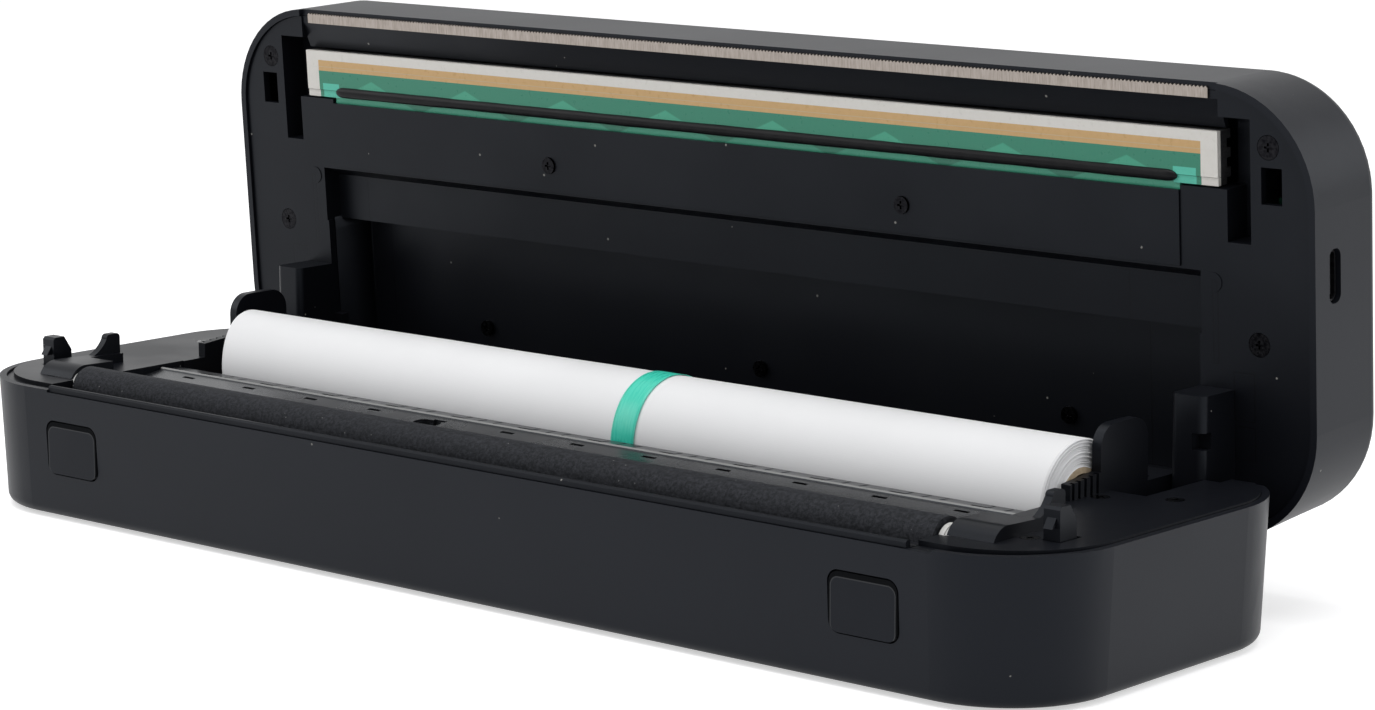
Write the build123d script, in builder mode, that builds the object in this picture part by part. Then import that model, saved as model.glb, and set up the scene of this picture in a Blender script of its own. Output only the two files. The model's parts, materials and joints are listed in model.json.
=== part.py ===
from build123d import *
import math
import os

# A portable A4 thermal printer, drawn with its paper lid open. Millimetres, +Z up.
# X runs along the printer, +Y to the rear, and the rubber feet stand on Z = 0.
# The base pieces are drawn as (x, depth from the front face, height over the underside),
# and the lid pieces as (x, distance up from the lid's hinge edge, depth behind its open face).

os.makedirs("parts", exist_ok=True)

# ---- Base case -------------------------------------------------------------------------
PAPER_HALF = 105.0         # half the width of A4 paper: the length follows from it
CASE_PAST_PAPER = 28.6
BASE_LENGTH = 2 * (PAPER_HALF + CASE_PAST_PAPER)
BASE_DEPTH = 81.9
BASE_HEIGHT = 25.5
BASE_CORNER_R = 21.5
BASE_DRAFT = 1.1           # how far the underside is drawn in on each side
BASE_FILLET = 2.0
REAR_ROUND = 5.8           # rear top edge, rounded about the hinge axis
SHELL_WALL = 2.0
SHELL_FLOOR = 2.0
RIM_WIDTH = 1.4
RIM_PROUD = 0.5            # rim over the deck's flange
DECK_PROUD = 0.4           # raised deck over the rim
DECK_THICK = 2.0
FOOT_R = 6.0
FOOT_PROUD = 0.6
FOOT_RECESS = 0.8
FOOT_INSIDE_PAPER = 1.0
FOOT_X = PAPER_HALF - FOOT_INSIDE_PAPER
FOOT_FRONT_Y = 15.0
FOOT_REAR_Y = 66.0

# ---- Clearances ------------------------------------------------------------------------
SEAT_GAP = 0.1             # beside pieces that are fixed together
MOVE_GAP = 0.3             # beside pieces that move
PIN_GAP = 0.05             # round a pin, shaft or screw

# ---- Lid -------------------------------------------------------------------------------
LID_DEPTH = 80.7
LID_THICK = 20.8
LID_CORNER_R = 20.85
LID_DRAFT = 0.5
LID_BACK_FILLET = 2.5
LID_WALL = 2.0
LID_RIM = 1.3
LID_OVERHANG = 0.7         # closed lid past the base at the rear
PARTING_GAP = 0.1
OPEN_ANGLE = 86.5
FACE_INSET = 0.55          # inner frame behind the lid's rim
FRAME_THICK = 1.6

# ---- Front strip, platen and its bearings ----------------------------------------------
LIP_LEFT_PAST_PAPER = 0.3
LIP_LEFT_X = -PAPER_HALF - LIP_LEFT_PAST_PAPER
LIP_RIGHT_PAST_PAPER = 2.6
LIP_RIGHT_X = PAPER_HALF + LIP_RIGHT_PAST_PAPER
RIM_NOTCH_RIGHT_PAST_PAPER = 8.0
RIM_NOTCH_RIGHT_X = PAPER_HALF + RIM_NOTCH_RIGHT_PAST_PAPER
LIP_TOP = 26.3
LIP_FRONT_Y = 0.45
LIP_THICK = 1.2
LIP_BEVEL = 0.35
LIP_REAR_Y = 6.6
LIP_BOTTOM = 21.6
PLATEN_Y = 12.2
PLATEN_Z = 24.0
PLATEN_R = 4.3
PLATEN_PAST_PAPER = 2.0
PLATEN_HALF = PAPER_HALF + PLATEN_PAST_PAPER
SHAFT_R = 2.0
BUSH_FLANGE_R = 3.25
BUSH_FLANGE_THICK = 1.0
BUSH_SLEEVE_R = 3.0
BUSH_OUTER_PAST_PAPER = 7.6
BUSH_OUTER_X = PAPER_HALF + BUSH_OUTER_PAST_PAPER
RUBBER_GAP = 0.02
SHAFT_STUB = 0.2
FIN_TIP_R = 0.9
FIN_CURVE_R = 7.0
CAP_INNER_PAST_PAPER = 4.0
CAP_INNER_X = PAPER_HALF + CAP_INNER_PAST_PAPER
CAP_OUTER_PAST_PAPER = 13.5
CAP_OUTER_X = PAPER_HALF + CAP_OUTER_PAST_PAPER
NOSE_Y = 13.1
NOSE_Z = 24.1
NOSE_R = 4.15
CAP_REAR_Y = 20.3
CAP_REAR_TOP = 28.0
RAIL_INNER_PAST_PAPER = 11.0
RAIL_INNER_X = PAPER_HALF + RAIL_INNER_PAST_PAPER       # narrow rail from the cap back to the fin's foot
RAIL_TOP = 27.7
FIN_INNER_PAST_PAPER = 11.9
FIN_INNER_X = PAPER_HALF + FIN_INNER_PAST_PAPER
FIN_FRONT_Y = 21.2
FIN_TIP_Y = 25.4
FIN_REAR_Y = 28.9
FIN_TOP = 31.8
SADDLE_BOTTOM = 19.4

# ---- Drive -----------------------------------------------------------------------------
GEAR_MODULE = 0.5
PLATEN_TEETH = 10
IDLER_TEETH = 24
PINION_TEETH = 10
GEAR_WIDTH = 2.8
GEAR_INNER_PAST_PAPER = 8.2
GEAR_INNER_X = PAPER_HALF + GEAR_INNER_PAST_PAPER
GEAR_SHAFT_R = 1.25        # platen shaft, stepped down for its gear
GEAR_PLAY = 0.08           # added to each centre distance
IDLER_DROP = 7.8           # idler axis below the platen axis
PINION_DROP = 3.0          # motor axis below the idler axis
MOTOR_R = 7.5
MOTOR_LENGTH = 20.0
MOTOR_BOSS_R = 3.0
MOTOR_BOSS_LENGTH = 0.8
MOTOR_SHAFT_R = 0.75
IDLER_PIN_R = 1.0
BRACKET_THICK = 1.0
BRACKET_FRONT_Y = 9.9
BRACKET_REAR_Y = 33.0
BRACKET_FOOT = 8.0
GEAR_ADDENDUM = 0.8        # in modules
GEAR_DEDENDUM = 1.15
TOOTH_FILL = 0.82
ROOT_FLANK = 0.6
PRESSURE_ANGLE = 20.0

# ---- Paper guide and paper bin ---------------------------------------------------------
ROLL_R = 11.5
ROLL_Y = 49.7
ROLL_Z = 24.0
ROLL_LEFT_INSIDE_PAPER = 6.0
ROLL_LEFT_X = ROLL_LEFT_INSIDE_PAPER - PAPER_HALF
ROLL_RIGHT_PAST_PAPER = 2.0
ROLL_RIGHT_X = PAPER_HALF + ROLL_RIGHT_PAST_PAPER
ROLL_SHIFT = 7.2           # the closing lid pushes the loose roll back this far
ROLL_PLAY = 0.7
CORE_R = 6.4
CORE_WALL = 1.0
TAPE_X = 12.0
TAPE_WIDTH = 5.6
TAPE_THICK = 0.12
TAPE_FROM = 60.0           # angles round the roll, from the rear over the top to the front
TAPE_TO = 200.0
BIN_PAST_PAPER = 2.3
BIN_HALF = PAPER_HALF + BIN_PAST_PAPER
BIN_WALL = 1.2
GUIDE_PAST_PAPER = 2.5
GUIDE_HALF = PAPER_HALF + GUIDE_PAST_PAPER
GUIDE_FRONT_Y = 17.2
GUIDE_FRONT_TOP = 23.3
GUIDE_RIDGE_Y = 31.7
GUIDE_TOP = 25.0
GUIDE_RIDGE_PROUD = 0.45
GUIDE_RIDGE_HALF = 0.6
GUIDE_REAR_DROP = 0.3
GUIDE_THICK = 1.6
GUIDE_LEG = 1.2
GUIDE_SLOT_COUNT = 12
GUIDE_END_MARGIN = 1.9
GUIDE_SLOT_PITCH = 2 * (GUIDE_HALF - GUIDE_END_MARGIN) / GUIDE_SLOT_COUNT
GUIDE_SLOT_ROW = 4.6
GUIDE_SLOT = (3.2, 0.9)
SENSOR_X = -28.0
SENSOR_Y = 27.6
SENSOR_SIZE = (4.0, 2.8)
SENSOR_BOARD = (16.0, 8.0)
SENSOR_BOARD_Z = 21.4
SENSOR_BOARD_THICK = 0.9
SENSOR_HEIGHT = 1.5
HOLDER_THICK = 1.9
HOLDER_FRONT_Y = 52.0
HOLDER_REAR_Y = 66.0
HOLDER_TOP = 37.5
HOLDER_CORNER_R = 4.0
WING_FRONT_Y = 43.2
WING_TOP = 29.5
WING_DROP = 0.8
WING_TEETH = 5
WING_TOOTH = (0.8, 0.7)
BATTERY_R = 9.2
BATTERY_HALF = 66.0
BATTERY_ROUND = 1.0
BATTERY_Y = 27.8
BATTERY_Z = 11.9
CRADLE_X = (-48.0, 0.0, 48.0)
CRADLE_THICK = 2.4

# ---- Hinge -----------------------------------------------------------------------------
HINGE_PIN_R = 1.5
HINGE_PIN_END_PAST_PAPER = 17.8
HINGE_PIN_END_X = PAPER_HALF + HINGE_PIN_END_PAST_PAPER
KNUCKLE_R = 3.2
BLOCK_INNER_PAST_PAPER = 4.5
BLOCK_INNER_X = PAPER_HALF + BLOCK_INNER_PAST_PAPER
BLOCK_OUTER_PAST_PAPER = 11.5
BLOCK_OUTER_X = PAPER_HALF + BLOCK_OUTER_PAST_PAPER
BLOCK_KNUCKLE_R = 4.1
BLOCK_TOP = 40.5
BLOCK_ROUND = 1.4
BLOCK_NOTCH = (2.4, 3.0)
BLOCK_NOTCH_Z = 31.0
ARM_THICK = 2.6
ARM_HALF_WIDTH = 1.9
ARM_FLANGE_THICK = 1.6
ARM_FLANGE_INNER_PAST_PAPER = 6.0
ARM_FLANGE_INNER_X = PAPER_HALF + ARM_FLANGE_INNER_PAST_PAPER
ARM_FLANGE_TOP_V = 30.0
EAR_THICK = 2.0
EAR_DEPTH = 10.0
ARM_GUSSET_W = 4.0

# ---- Latches and their buttons ---------------------------------------------------------
BUTTON_INSIDE_PAPER = 6.2
BUTTON_X = PAPER_HALF - BUTTON_INSIDE_PAPER
BUTTON_Z = 14.06
BUTTON_SIZE = (14.3, 10.3)
BUTTON_R = 2.0
BUTTON_FLANGE = 1.0
BUTTON_TRAVEL = 0.9
BUTTON_FRONT_Y = 0.35
SLIDE_BACK_Y = 3.8         # where the slide meets the button
SLIDE_BOTTOM = 6.4
SLIDE_THICK = 2.0
SLIDE_CARRIER_THICK = 1.6
SLIDE_TURN_PAST_PAPER = 13.0
SLIDE_TURN_X = PAPER_HALF + SLIDE_TURN_PAST_PAPER
SLIDE_DEPTH = 4.4
PEG_INNER_PAST_PAPER = 18.0
PEG_INNER_X = PAPER_HALF + PEG_INNER_PAST_PAPER
PEG_OUTER_PAST_PAPER = 21.3
PEG_OUTER_X = PAPER_HALF + PEG_OUTER_PAST_PAPER
PEG_FRONT_Y = 16.7
PEG_REAR_Y = 21.3
PEG_TOP = 31.6
PEG_BEVEL = 0.5
PEG_SLOPE = (1.8, 2.8)
CATCH_DEPTH = 1.2          # the hook's nose, ahead of the peg
CATCH_WIDTH = 1.8
CATCH_BOTTOM = 28.1
CATCH_TOP = 29.8
SPRING_R = 1.7
SPRING_WIRE = 0.3
SPRING_PITCH = 1.0
SPRING_LENGTH = 4.0
SPRING_POST_THICK = 1.5

# ---- Deck details ----------------------------------------------------------------------
DECK_SCREWS_PAST_PAPER = (5.8, 16.8, 15.4)
DECK_SCREWS = (
    (PAPER_HALF + DECK_SCREWS_PAST_PAPER[0], 49.7),
    (PAPER_HALF + DECK_SCREWS_PAST_PAPER[1], 55.9),
)
FRONT_DECK_SCREW = (PAPER_HALF + DECK_SCREWS_PAST_PAPER[2], 16.6)
SCREW_HEAD_R = 1.6
SCREW_HEAD = 0.8
SCREW_R = 0.8
SCREW_LENGTH = 8.0
BOSS_R = 1.9
CROSS_WIDTH = 0.4
CROSS_DEPTH = 0.4

# ---- Lid frame -------------------------------------------------------------------------
TROUGH_PAST_PAPER = 2.1
TROUGH_HALF = PAPER_HALF + TROUGH_PAST_PAPER
TROUGH_LOW_V = 8.0
TROUGH_TOP_V = 36.2
TROUGH_DEEP = 10.6
TROUGH_WALL = 1.5
SHELF_PAST_PAPER = 4.9
SHELF_HALF = PAPER_HALF + SHELF_PAST_PAPER
SHELF_DEEP = 4.5
SHELF_TOP_V = 45.5
LEDGE_V = 47.5
BAY_PAST_PAPER = 8.9
BAY_HALF = PAPER_HALF + BAY_PAST_PAPER
BAY_SHOULDER_PAST_PAPER = 0.9
BAY_SHOULDER_HALF = PAPER_HALF + BAY_SHOULDER_PAST_PAPER
BAY_SHOULDER_V = 62.2
BAY_LOW_V = 56.5
WELL_OUTER_PAST_PAPER = 15.4
WELL_OUTER_X = PAPER_HALF + WELL_OUTER_PAST_PAPER
WELL_SLOT_INNER_PAST_PAPER = 10.6
WELL_SLOT_INNER_X = PAPER_HALF + WELL_SLOT_INNER_PAST_PAPER
WELL_INNER_PAST_PAPER = 1.2
WELL_INNER_X = PAPER_HALF + WELL_INNER_PAST_PAPER
WELL_LOW_V = 53.0
WELL_TOP_V = 74.8
WELL_DEEP = 6.7
WELL_WALL = 1.0
BEZEL_LOW_V = 72.6
BEZEL_DEEP = 2.8
BEZEL_TOP_V = 77.8
BEZEL_THICK = 1.2
BLADE_SEAT = 0.9           # depth of the blade's seat behind the rim
CATCH_HOLE_LENGTH_GAP = 0.8
CATCH_HOLE_WIDTH_GAP = 0.45
BUMP_PAST_PAPER = 7.6
BUMP_X = PAPER_HALF + BUMP_PAST_PAPER
BUMP_V = 45.7
BUMP_R = 1.7
BUMP_PROUD = 0.15
LID_SCREWS_PAST_PAPER = (19.0, 16.8)
LID_SCREWS = (
    (PAPER_HALF + LID_SCREWS_PAST_PAPER[0], 70.2),
    (PAPER_HALF + LID_SCREWS_PAST_PAPER[1], 35.5),
)
LID_SCREW_HEAD_R = 2.1
LID_BOSS_R = 2.3
LID_SCREW_LENGTH = 3.5     # past the frame
TROUGH_SCREW_INSIDE_PAPER = 31.0
TROUGH_SCREW_X = PAPER_HALF - TROUGH_SCREW_INSIDE_PAPER
TROUGH_SCREW_V = 15.1

# ---- Print head, blade and cover -------------------------------------------------------
HEAD_PAST_PAPER = 8.5
HEAD_HALF = PAPER_HALF + HEAD_PAST_PAPER
HEAD_CORNER_GAP = 0.4
HEAD_CORNER_X = BAY_SHOULDER_HALF - HEAD_CORNER_GAP      # the head's lower corners are cut away past here
HEAD_LOW_V = 57.0
HEAD_TOP_V = 72.1
HEAD_FACE = 0.9
HEAD_BACK = 1.9
HEATSINK_BACK = 5.0
HEATSINK_GROOVE = 1.2
HEATSINK_FINS = 4
HEATSINK_FIN_PITCH = 3.4
HEAD_FLOAT = 2.0
BOARD_TOP_V = 63.9
BOARD_FACE = 1.1
RESIN_PAST_PAPER = 0.1
RESIN_HALF = PAPER_HALF + RESIN_PAST_PAPER
RESIN_V = 64.0
RESIN_R = 0.8
HEAD_SPRING_X = (-80.0, -27.0, 27.0, 80.0)
HEAD_SPRING_V = 66.0
HEAD_SPRING_R = 2.4
HEAD_SPRING_LENGTH = 4.0
HEAD_SPRING_POST_R = 3.4
COVER_PLATE_HALF = BAY_SHOULDER_HALF - SEAT_GAP
COVER_PLATE_LOW_V = 48.0
COVER_PLATE_TOP_V = 61.4
COVER_PLATE_FACE = 0.2
COVER_PLATE_THICK = 0.7
COVER_SCREW_X = 44.5
COVER_SCREW_V = 53.3
COVER_SCREW_SINK = 0.4      # screw heads sunk into the cover plate
BLADE_PAST_PAPER = 6.9
BLADE_HALF = PAPER_HALF + BLADE_PAST_PAPER
BLADE_TOP_V = 80.0
BLADE_LOW_V = 77.9
BLADE_THICK = 0.4
BLADE_TOOTH = 0.35
BLADE_PITCH = 0.8

# ---- Electronics in the lid ------------------------------------------------------------
MAIN_BOARD_PAST_PAPER = 26.0
MAIN_BOARD_X = (-60.0, PAPER_HALF + MAIN_BOARD_PAST_PAPER)
MAIN_BOARD_V = (39.3, 60.0)
MAIN_BOARD_DEEP = 8.0
MAIN_BOARD_THICK = 1.6
BOARD_POSTS = ((-55.0, 43.0), (-55.0, 56.5), (58.0, 43.0), (58.0, 56.5))
BOARD_POST_R = 2.0
CHIP_PLACES = ((20.0, 50.0), (80.0, 50.0), (-30.0, 50.0))
CHIP_SIZE = (9.0, 9.0, 1.0)
USB_V = 47.8
USB_SIZE = (8.94, 3.2, 7.3)
USB_SETBACK = 0.9
USB_GAP = 0.3
USB_SHEET = 0.3
USB_TONGUE = (6.7, 0.7)
POWER_INSIDE_PAPER = 5.0
POWER_X = PAPER_HALF - POWER_INSIDE_PAPER
POWER_V = 50.0
POWER_R = 4.4
POWER_FLANGE = 1.0
POWER_PROUD = 0.2
POWER_TRAVEL = 0.6
LENS_INSIDE_PAPER = 17.0
LENS_X = PAPER_HALF - LENS_INSIDE_PAPER
LENS_R = 1.2

# ---- Places worked out from the sizes above --------------------------------------------
FLANGE_TOP = BASE_HEIGHT - RIM_PROUD
DECK_TOP = BASE_HEIGHT + DECK_PROUD
LEDGE_TOP = FLANGE_TOP - DECK_THICK
HINGE_Y = BASE_DEPTH - REAR_ROUND
HINGE_Z = BASE_HEIGHT - REAR_ROUND
FRAME_BACK = FACE_INSET + FRAME_THICK
LID_INSIDE = LID_THICK - LID_WALL
BOTH_SIDES = (-1, 1)
GUIDE_SEAT = LEDGE_TOP - MOVE_GAP              # top of the bin's front wall
GEAR_OUTER_X = GEAR_INNER_X + GEAR_WIDTH
GEAR_TIP_R = GEAR_MODULE * (PLATEN_TEETH / 2 + GEAR_ADDENDUM)

LEAN = math.radians(90 - OPEN_ANGLE)
EDGE_BEHIND = REAR_ROUND + LID_OVERHANG        # closed hinge edge, from the hinge axis
EDGE_ABOVE = REAR_ROUND + PARTING_GAP
LID_Y = HINGE_Y + EDGE_BEHIND * math.sin(LEAN) + EDGE_ABOVE * math.cos(LEAN)
LID_Z = HINGE_Z - EDGE_BEHIND * math.cos(LEAN) + EDGE_ABOVE * math.sin(LEAN)

# The rearmost point is on the fillet round the open lid's lower back edge.
WALL_LEAN = math.atan(LID_DRAFT / LID_THICK)
FILLET_W = LID_THICK - LID_BACK_FILLET
FILLET_V = LID_BACK_FILLET / math.cos(WALL_LEAN) + FILLET_W * math.tan(WALL_LEAN)
REARMOST = LID_Y - FILLET_V * math.sin(LEAN) + FILLET_W * math.cos(LEAN) + LID_BACK_FILLET
FRONT = -REARMOST / 2


def level(height):
    """Flat plane at a height over the underside; local axes x, depth from the front."""
    return Plane(origin=(0, FRONT, FOOT_PROUD + height), x_dir=(1, 0, 0), z_dir=(0, 0, 1))


def section(x):
    """Upright plane across the printer; local axes depth from the front, height."""
    return Plane(origin=(x, FRONT, FOOT_PROUD), x_dir=(0, 1, 0), z_dir=(1, 0, 0))


def facing(depth):
    """Upright plane along the printer, facing the front; local axes x, height."""
    return Plane(origin=(0, FRONT + depth, FOOT_PROUD), x_dir=(1, 0, 0), z_dir=(0, -1, 0))


def lid_face(depth):
    """Plane behind the open lid's face; local axes x, v. It faces out of the lid."""
    return Plane(
        origin=(0, FRONT + LID_Y + depth * math.cos(LEAN), FOOT_PROUD + LID_Z + depth * math.sin(LEAN)),
        x_dir=(1, 0, 0),
        z_dir=(0, -math.cos(LEAN), -math.sin(LEAN)),
    )


def lid_section(x):
    """Plane across the open lid, facing -X; local axes v, depth behind the face."""
    return Plane(
        origin=(x, FRONT + LID_Y, FOOT_PROUD + LID_Z),
        x_dir=(0, -math.sin(LEAN), math.cos(LEAN)),
        z_dir=(-1, 0, 0),
    )


def lid_face_y(height, depth):
    """Depth from the front of a plane behind the open lid's face, at a height."""
    v = (height - LID_Z - depth * math.sin(LEAN)) / math.cos(LEAN)
    return LID_Y - v * math.sin(LEAN) + depth * math.cos(LEAN)


def lid_v(depth):
    """Where a base depth falls on the closed lid."""
    return BASE_DEPTH + LID_OVERHANG - depth


def base_outline(height, inset):
    draw_in = BASE_DRAFT * (1 - height / BASE_HEIGHT) + inset
    with BuildSketch(level(height)) as outline:
        with Locations((0, BASE_DEPTH / 2)):
            RectangleRounded(BASE_LENGTH - 2 * draw_in, BASE_DEPTH - 2 * draw_in, BASE_CORNER_R - draw_in)
    return outline.sketch


def lid_outline(depth, inset):
    draw_in = LID_DRAFT * depth / LID_THICK + inset
    with BuildSketch(lid_face(depth)) as outline:
        with Locations((0, LID_DEPTH / 2)):
            RectangleRounded(BASE_LENGTH - 2 * draw_in, LID_DEPTH - 2 * draw_in, LID_CORNER_R - draw_in)
    return outline.sketch


def inside_lid_rim(inset):
    """The closed lid's rim opening, drawn in by a gap, for the level sketch that is open."""
    reach = LID_RIM + inset
    with Locations((0, lid_v(LID_DEPTH / 2))):
        RectangleRounded(BASE_LENGTH - 2 * reach, LID_DEPTH - 2 * reach, LID_CORNER_R - reach)


def rear_round_waste():
    """What the rounded rear top edge takes off the base."""
    with BuildPart() as waste:
        with BuildSketch(section(0)):
            with Locations((HINGE_Y, HINGE_Z)):
                Rectangle(2 * REAR_ROUND, 2 * REAR_ROUND, align=(Align.MIN, Align.MIN))
                Circle(REAR_ROUND, mode=Mode.SUBTRACT)
        extrude(amount=BASE_LENGTH, both=True)
    return waste.part


def mirrored(piece):
    with BuildPart() as other:
        mirror(piece.part, about=Plane.YZ)
    return other


def finish(piece, name):
    piece.part.label = name
    export_step(piece.part, f"parts/{name}.step")


def box_between(x_range, y_range, mode=Mode.ADD):
    """A rectangle between two corners, for the sketch that is open."""
    with Locations(((x_range[0] + x_range[1]) / 2, (y_range[0] + y_range[1]) / 2)):
        Rectangle(x_range[1] - x_range[0], y_range[1] - y_range[0], mode=mode)


def both_ways(x, y):
    return [(side * x, y) for side in BOTH_SIDES]


# ---- Base shell ------------------------------------------------------------------------
DECK_SCREW_PLACES = [p for x, y in DECK_SCREWS for p in both_ways(x, y)] + [FRONT_DECK_SCREW]
ARM_OUTER_X = BLOCK_OUTER_X + MOVE_GAP + ARM_THICK
ARM_SLOT_X = (BLOCK_OUTER_X, ARM_OUTER_X + MOVE_GAP)
ARM_SLOT_Z = HINGE_Z - KNUCKLE_R - MOVE_GAP
ARM_SLOT_Y = HINGE_Y - KNUCKLE_R - MOVE_GAP
BLOCK_SLOT_X = (BLOCK_INNER_X - MOVE_GAP, ARM_SLOT_X[0])
BLOCK_SLOT_Y = HINGE_Y - (BLOCK_TOP - HINGE_Z) - MOVE_GAP       # where the shut lid's block reaches
BLOCK_SLOT_Z = HINGE_Z - BLOCK_KNUCKLE_R - MOVE_GAP
CRADLE_TOP = GUIDE_FRONT_TOP - GUIDE_THICK
SPRING_POST_Y = SLIDE_BACK_Y + SLIDE_CARRIER_THICK + SPRING_LENGTH + BUTTON_TRAVEL + MOVE_GAP
CATCH_X = (PEG_INNER_X + PEG_OUTER_X) / 2

with BuildPart() as base_fittings:
    with BuildSketch(level(SHELL_FLOOR)):
        with Locations(DECK_SCREW_PLACES):
            Circle(BOSS_R)
    extrude(amount=LEDGE_TOP - SHELL_FLOOR)
    with BuildSketch(level(SHELL_FLOOR)):
        for side in BOTH_SIDES:
            with Locations(
                (side * (ARM_SLOT_X[1] + EAR_THICK / 2), HINGE_Y),
                (side * (BLOCK_SLOT_X[0] - EAR_THICK / 2), HINGE_Y),
            ):
                Rectangle(EAR_THICK, EAR_DEPTH)
    extrude(amount=LEDGE_TOP - SHELL_FLOOR)
    with BuildSketch(level(SHELL_FLOOR)):
        with Locations([(x, (GUIDE_FRONT_Y + BATTERY_Y + BATTERY_R) / 2) for x in CRADLE_X]):
            Rectangle(CRADLE_THICK, BATTERY_Y + BATTERY_R - GUIDE_FRONT_Y)
    extrude(amount=BATTERY_Z - SHELL_FLOOR)
    with BuildSketch(level(SHELL_FLOOR)):
        with Locations([(x, GUIDE_FRONT_Y) for x in CRADLE_X]):
            Rectangle(CRADLE_THICK, GUIDE_LEG, align=(Align.CENTER, Align.MIN))
    extrude(amount=CRADLE_TOP - SHELL_FLOOR)
    with BuildSketch(section(0)):
        with Locations((BATTERY_Y, BATTERY_Z)):
            Circle(BATTERY_R + SEAT_GAP)
    extrude(amount=BATTERY_HALF, both=True, mode=Mode.SUBTRACT)
    with BuildSketch(level(SHELL_FLOOR)):
        with Locations([(side * BUTTON_X, SPRING_POST_Y) for side in BOTH_SIDES]):
            Rectangle(2 * SPRING_R + 1, SPRING_POST_THICK, align=(Align.CENTER, Align.MIN))
    extrude(amount=BUTTON_Z + SPRING_R - SHELL_FLOOR)
    with BuildSketch(level(SHELL_FLOOR)):
        rail_y = (SLIDE_BACK_Y + 1, SPRING_POST_Y)
        for side in BOTH_SIDES:
            box_between((side * BUTTON_X - 1, side * BUTTON_X + 1), rail_y)
            box_between((side * CATCH_X - 1, side * CATCH_X + 1), (PEG_FRONT_Y - 2, PEG_REAR_Y + 2))
    extrude(amount=SLIDE_BOTTOM - MOVE_GAP - SHELL_FLOOR)
    loft(
        sections=[base_outline(0, SHELL_WALL / 2), base_outline(BASE_HEIGHT, SHELL_WALL / 2)],
        mode=Mode.INTERSECT,
    )

with BuildPart() as base_shell:
    loft(sections=[base_outline(0, 0), base_outline(BASE_HEIGHT, 0)])
    fillet(base_shell.edges().group_by(Axis.Z)[0], BASE_FILLET)
    loft(
        sections=[base_outline(SHELL_FLOOR, SHELL_WALL), base_outline(LEDGE_TOP, SHELL_WALL)],
        mode=Mode.SUBTRACT,
    )
    with BuildSketch(level(LEDGE_TOP)):
        with Locations((0, BASE_DEPTH / 2)):
            RectangleRounded(
                BASE_LENGTH - 2 * RIM_WIDTH, BASE_DEPTH - 2 * RIM_WIDTH, BASE_CORNER_R - RIM_WIDTH
            )
    extrude(amount=BASE_HEIGHT, mode=Mode.SUBTRACT)
    add(base_fittings.part)
    add(rear_round_waste(), mode=Mode.SUBTRACT)
    with BuildSketch(level(FLANGE_TOP)):
        box_between((LIP_LEFT_X, RIM_NOTCH_RIGHT_X), (-RIM_WIDTH, RIM_WIDTH + SEAT_GAP))
    extrude(amount=2 * RIM_PROUD, mode=Mode.SUBTRACT)
    with BuildSketch(facing(0)):
        with Locations(both_ways(BUTTON_X, BUTTON_Z)):
            RectangleRounded(
                BUTTON_SIZE[0] + 2 * MOVE_GAP, BUTTON_SIZE[1] + 2 * MOVE_GAP, BUTTON_R + MOVE_GAP
            )
    extrude(amount=-(SHELL_WALL + BASE_DRAFT), mode=Mode.SUBTRACT)
    with BuildSketch(level(ARM_SLOT_Z)):
        for side in BOTH_SIDES:
            slot_x = sorted((side * ARM_SLOT_X[0], side * ARM_SLOT_X[1]))
            box_between(slot_x, (ARM_SLOT_Y, BASE_DEPTH + 1))
    extrude(amount=BASE_HEIGHT, mode=Mode.SUBTRACT)
    with BuildSketch(level(BLOCK_SLOT_Z)):
        for side in BOTH_SIDES:
            slot_x = sorted((side * BLOCK_SLOT_X[0], side * BLOCK_SLOT_X[1]))
            box_between(slot_x, (HINGE_Y, BASE_DEPTH + 1))
    extrude(amount=BASE_HEIGHT, mode=Mode.SUBTRACT)
    with BuildSketch(section(0)):
        with Locations((HINGE_Y, HINGE_Z)):
            Circle(HINGE_PIN_R + PIN_GAP)
    extrude(amount=HINGE_PIN_END_X + SEAT_GAP, both=True, mode=Mode.SUBTRACT)
    with BuildSketch(level(0)):
        with Locations([(s * FOOT_X, y) for s in BOTH_SIDES for y in (FOOT_FRONT_Y, FOOT_REAR_Y)]):
            Circle(FOOT_R + SEAT_GAP)
    extrude(amount=FOOT_RECESS, mode=Mode.SUBTRACT)
    with BuildSketch(level(LEDGE_TOP)):
        with Locations(DECK_SCREW_PLACES):
            Circle(SCREW_R + PIN_GAP)
    extrude(amount=-(SCREW_LENGTH + SEAT_GAP), mode=Mode.SUBTRACT)
finish(base_shell, "base_shell")

with BuildPart() as rubber_feet:
    with BuildSketch(level(-FOOT_PROUD)):
        with Locations([(s * FOOT_X, y) for s in BOTH_SIDES for y in (FOOT_FRONT_Y, FOOT_REAR_Y)]):
            Circle(FOOT_R)
    extrude(amount=FOOT_PROUD + FOOT_RECESS)
finish(rubber_feet, "rubber_feet")


# ---- Deck with the paper bin -----------------------------------------------------------
BIN_R = ROLL_R + ROLL_PLAY
BIN_BACK_CENTRE = ROLL_Y + ROLL_SHIFT + MOVE_GAP
WINDOW_HALF = GUIDE_HALF + MOVE_GAP


def bin_channel(radius, half_length):
    """Round-bottomed channel, long enough for the roll to move back in."""
    with BuildPart() as channel:
        with BuildSketch(section(-half_length)):
            with BuildLine():
                Line((ROLL_Y - radius, DECK_TOP), (ROLL_Y - radius, ROLL_Z))
                CenterArc((ROLL_Y, ROLL_Z), radius, 180, 90)
                Line((ROLL_Y, ROLL_Z - radius), (BIN_BACK_CENTRE, ROLL_Z - radius))
                CenterArc((BIN_BACK_CENTRE, ROLL_Z), radius, 270, 90)
                Line((BIN_BACK_CENTRE + radius, ROLL_Z), (BIN_BACK_CENTRE + radius, DECK_TOP))
                Line((BIN_BACK_CENTRE + radius, DECK_TOP), (ROLL_Y - radius, DECK_TOP))
            make_face()
        extrude(amount=2 * half_length)
    return channel.part


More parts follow.
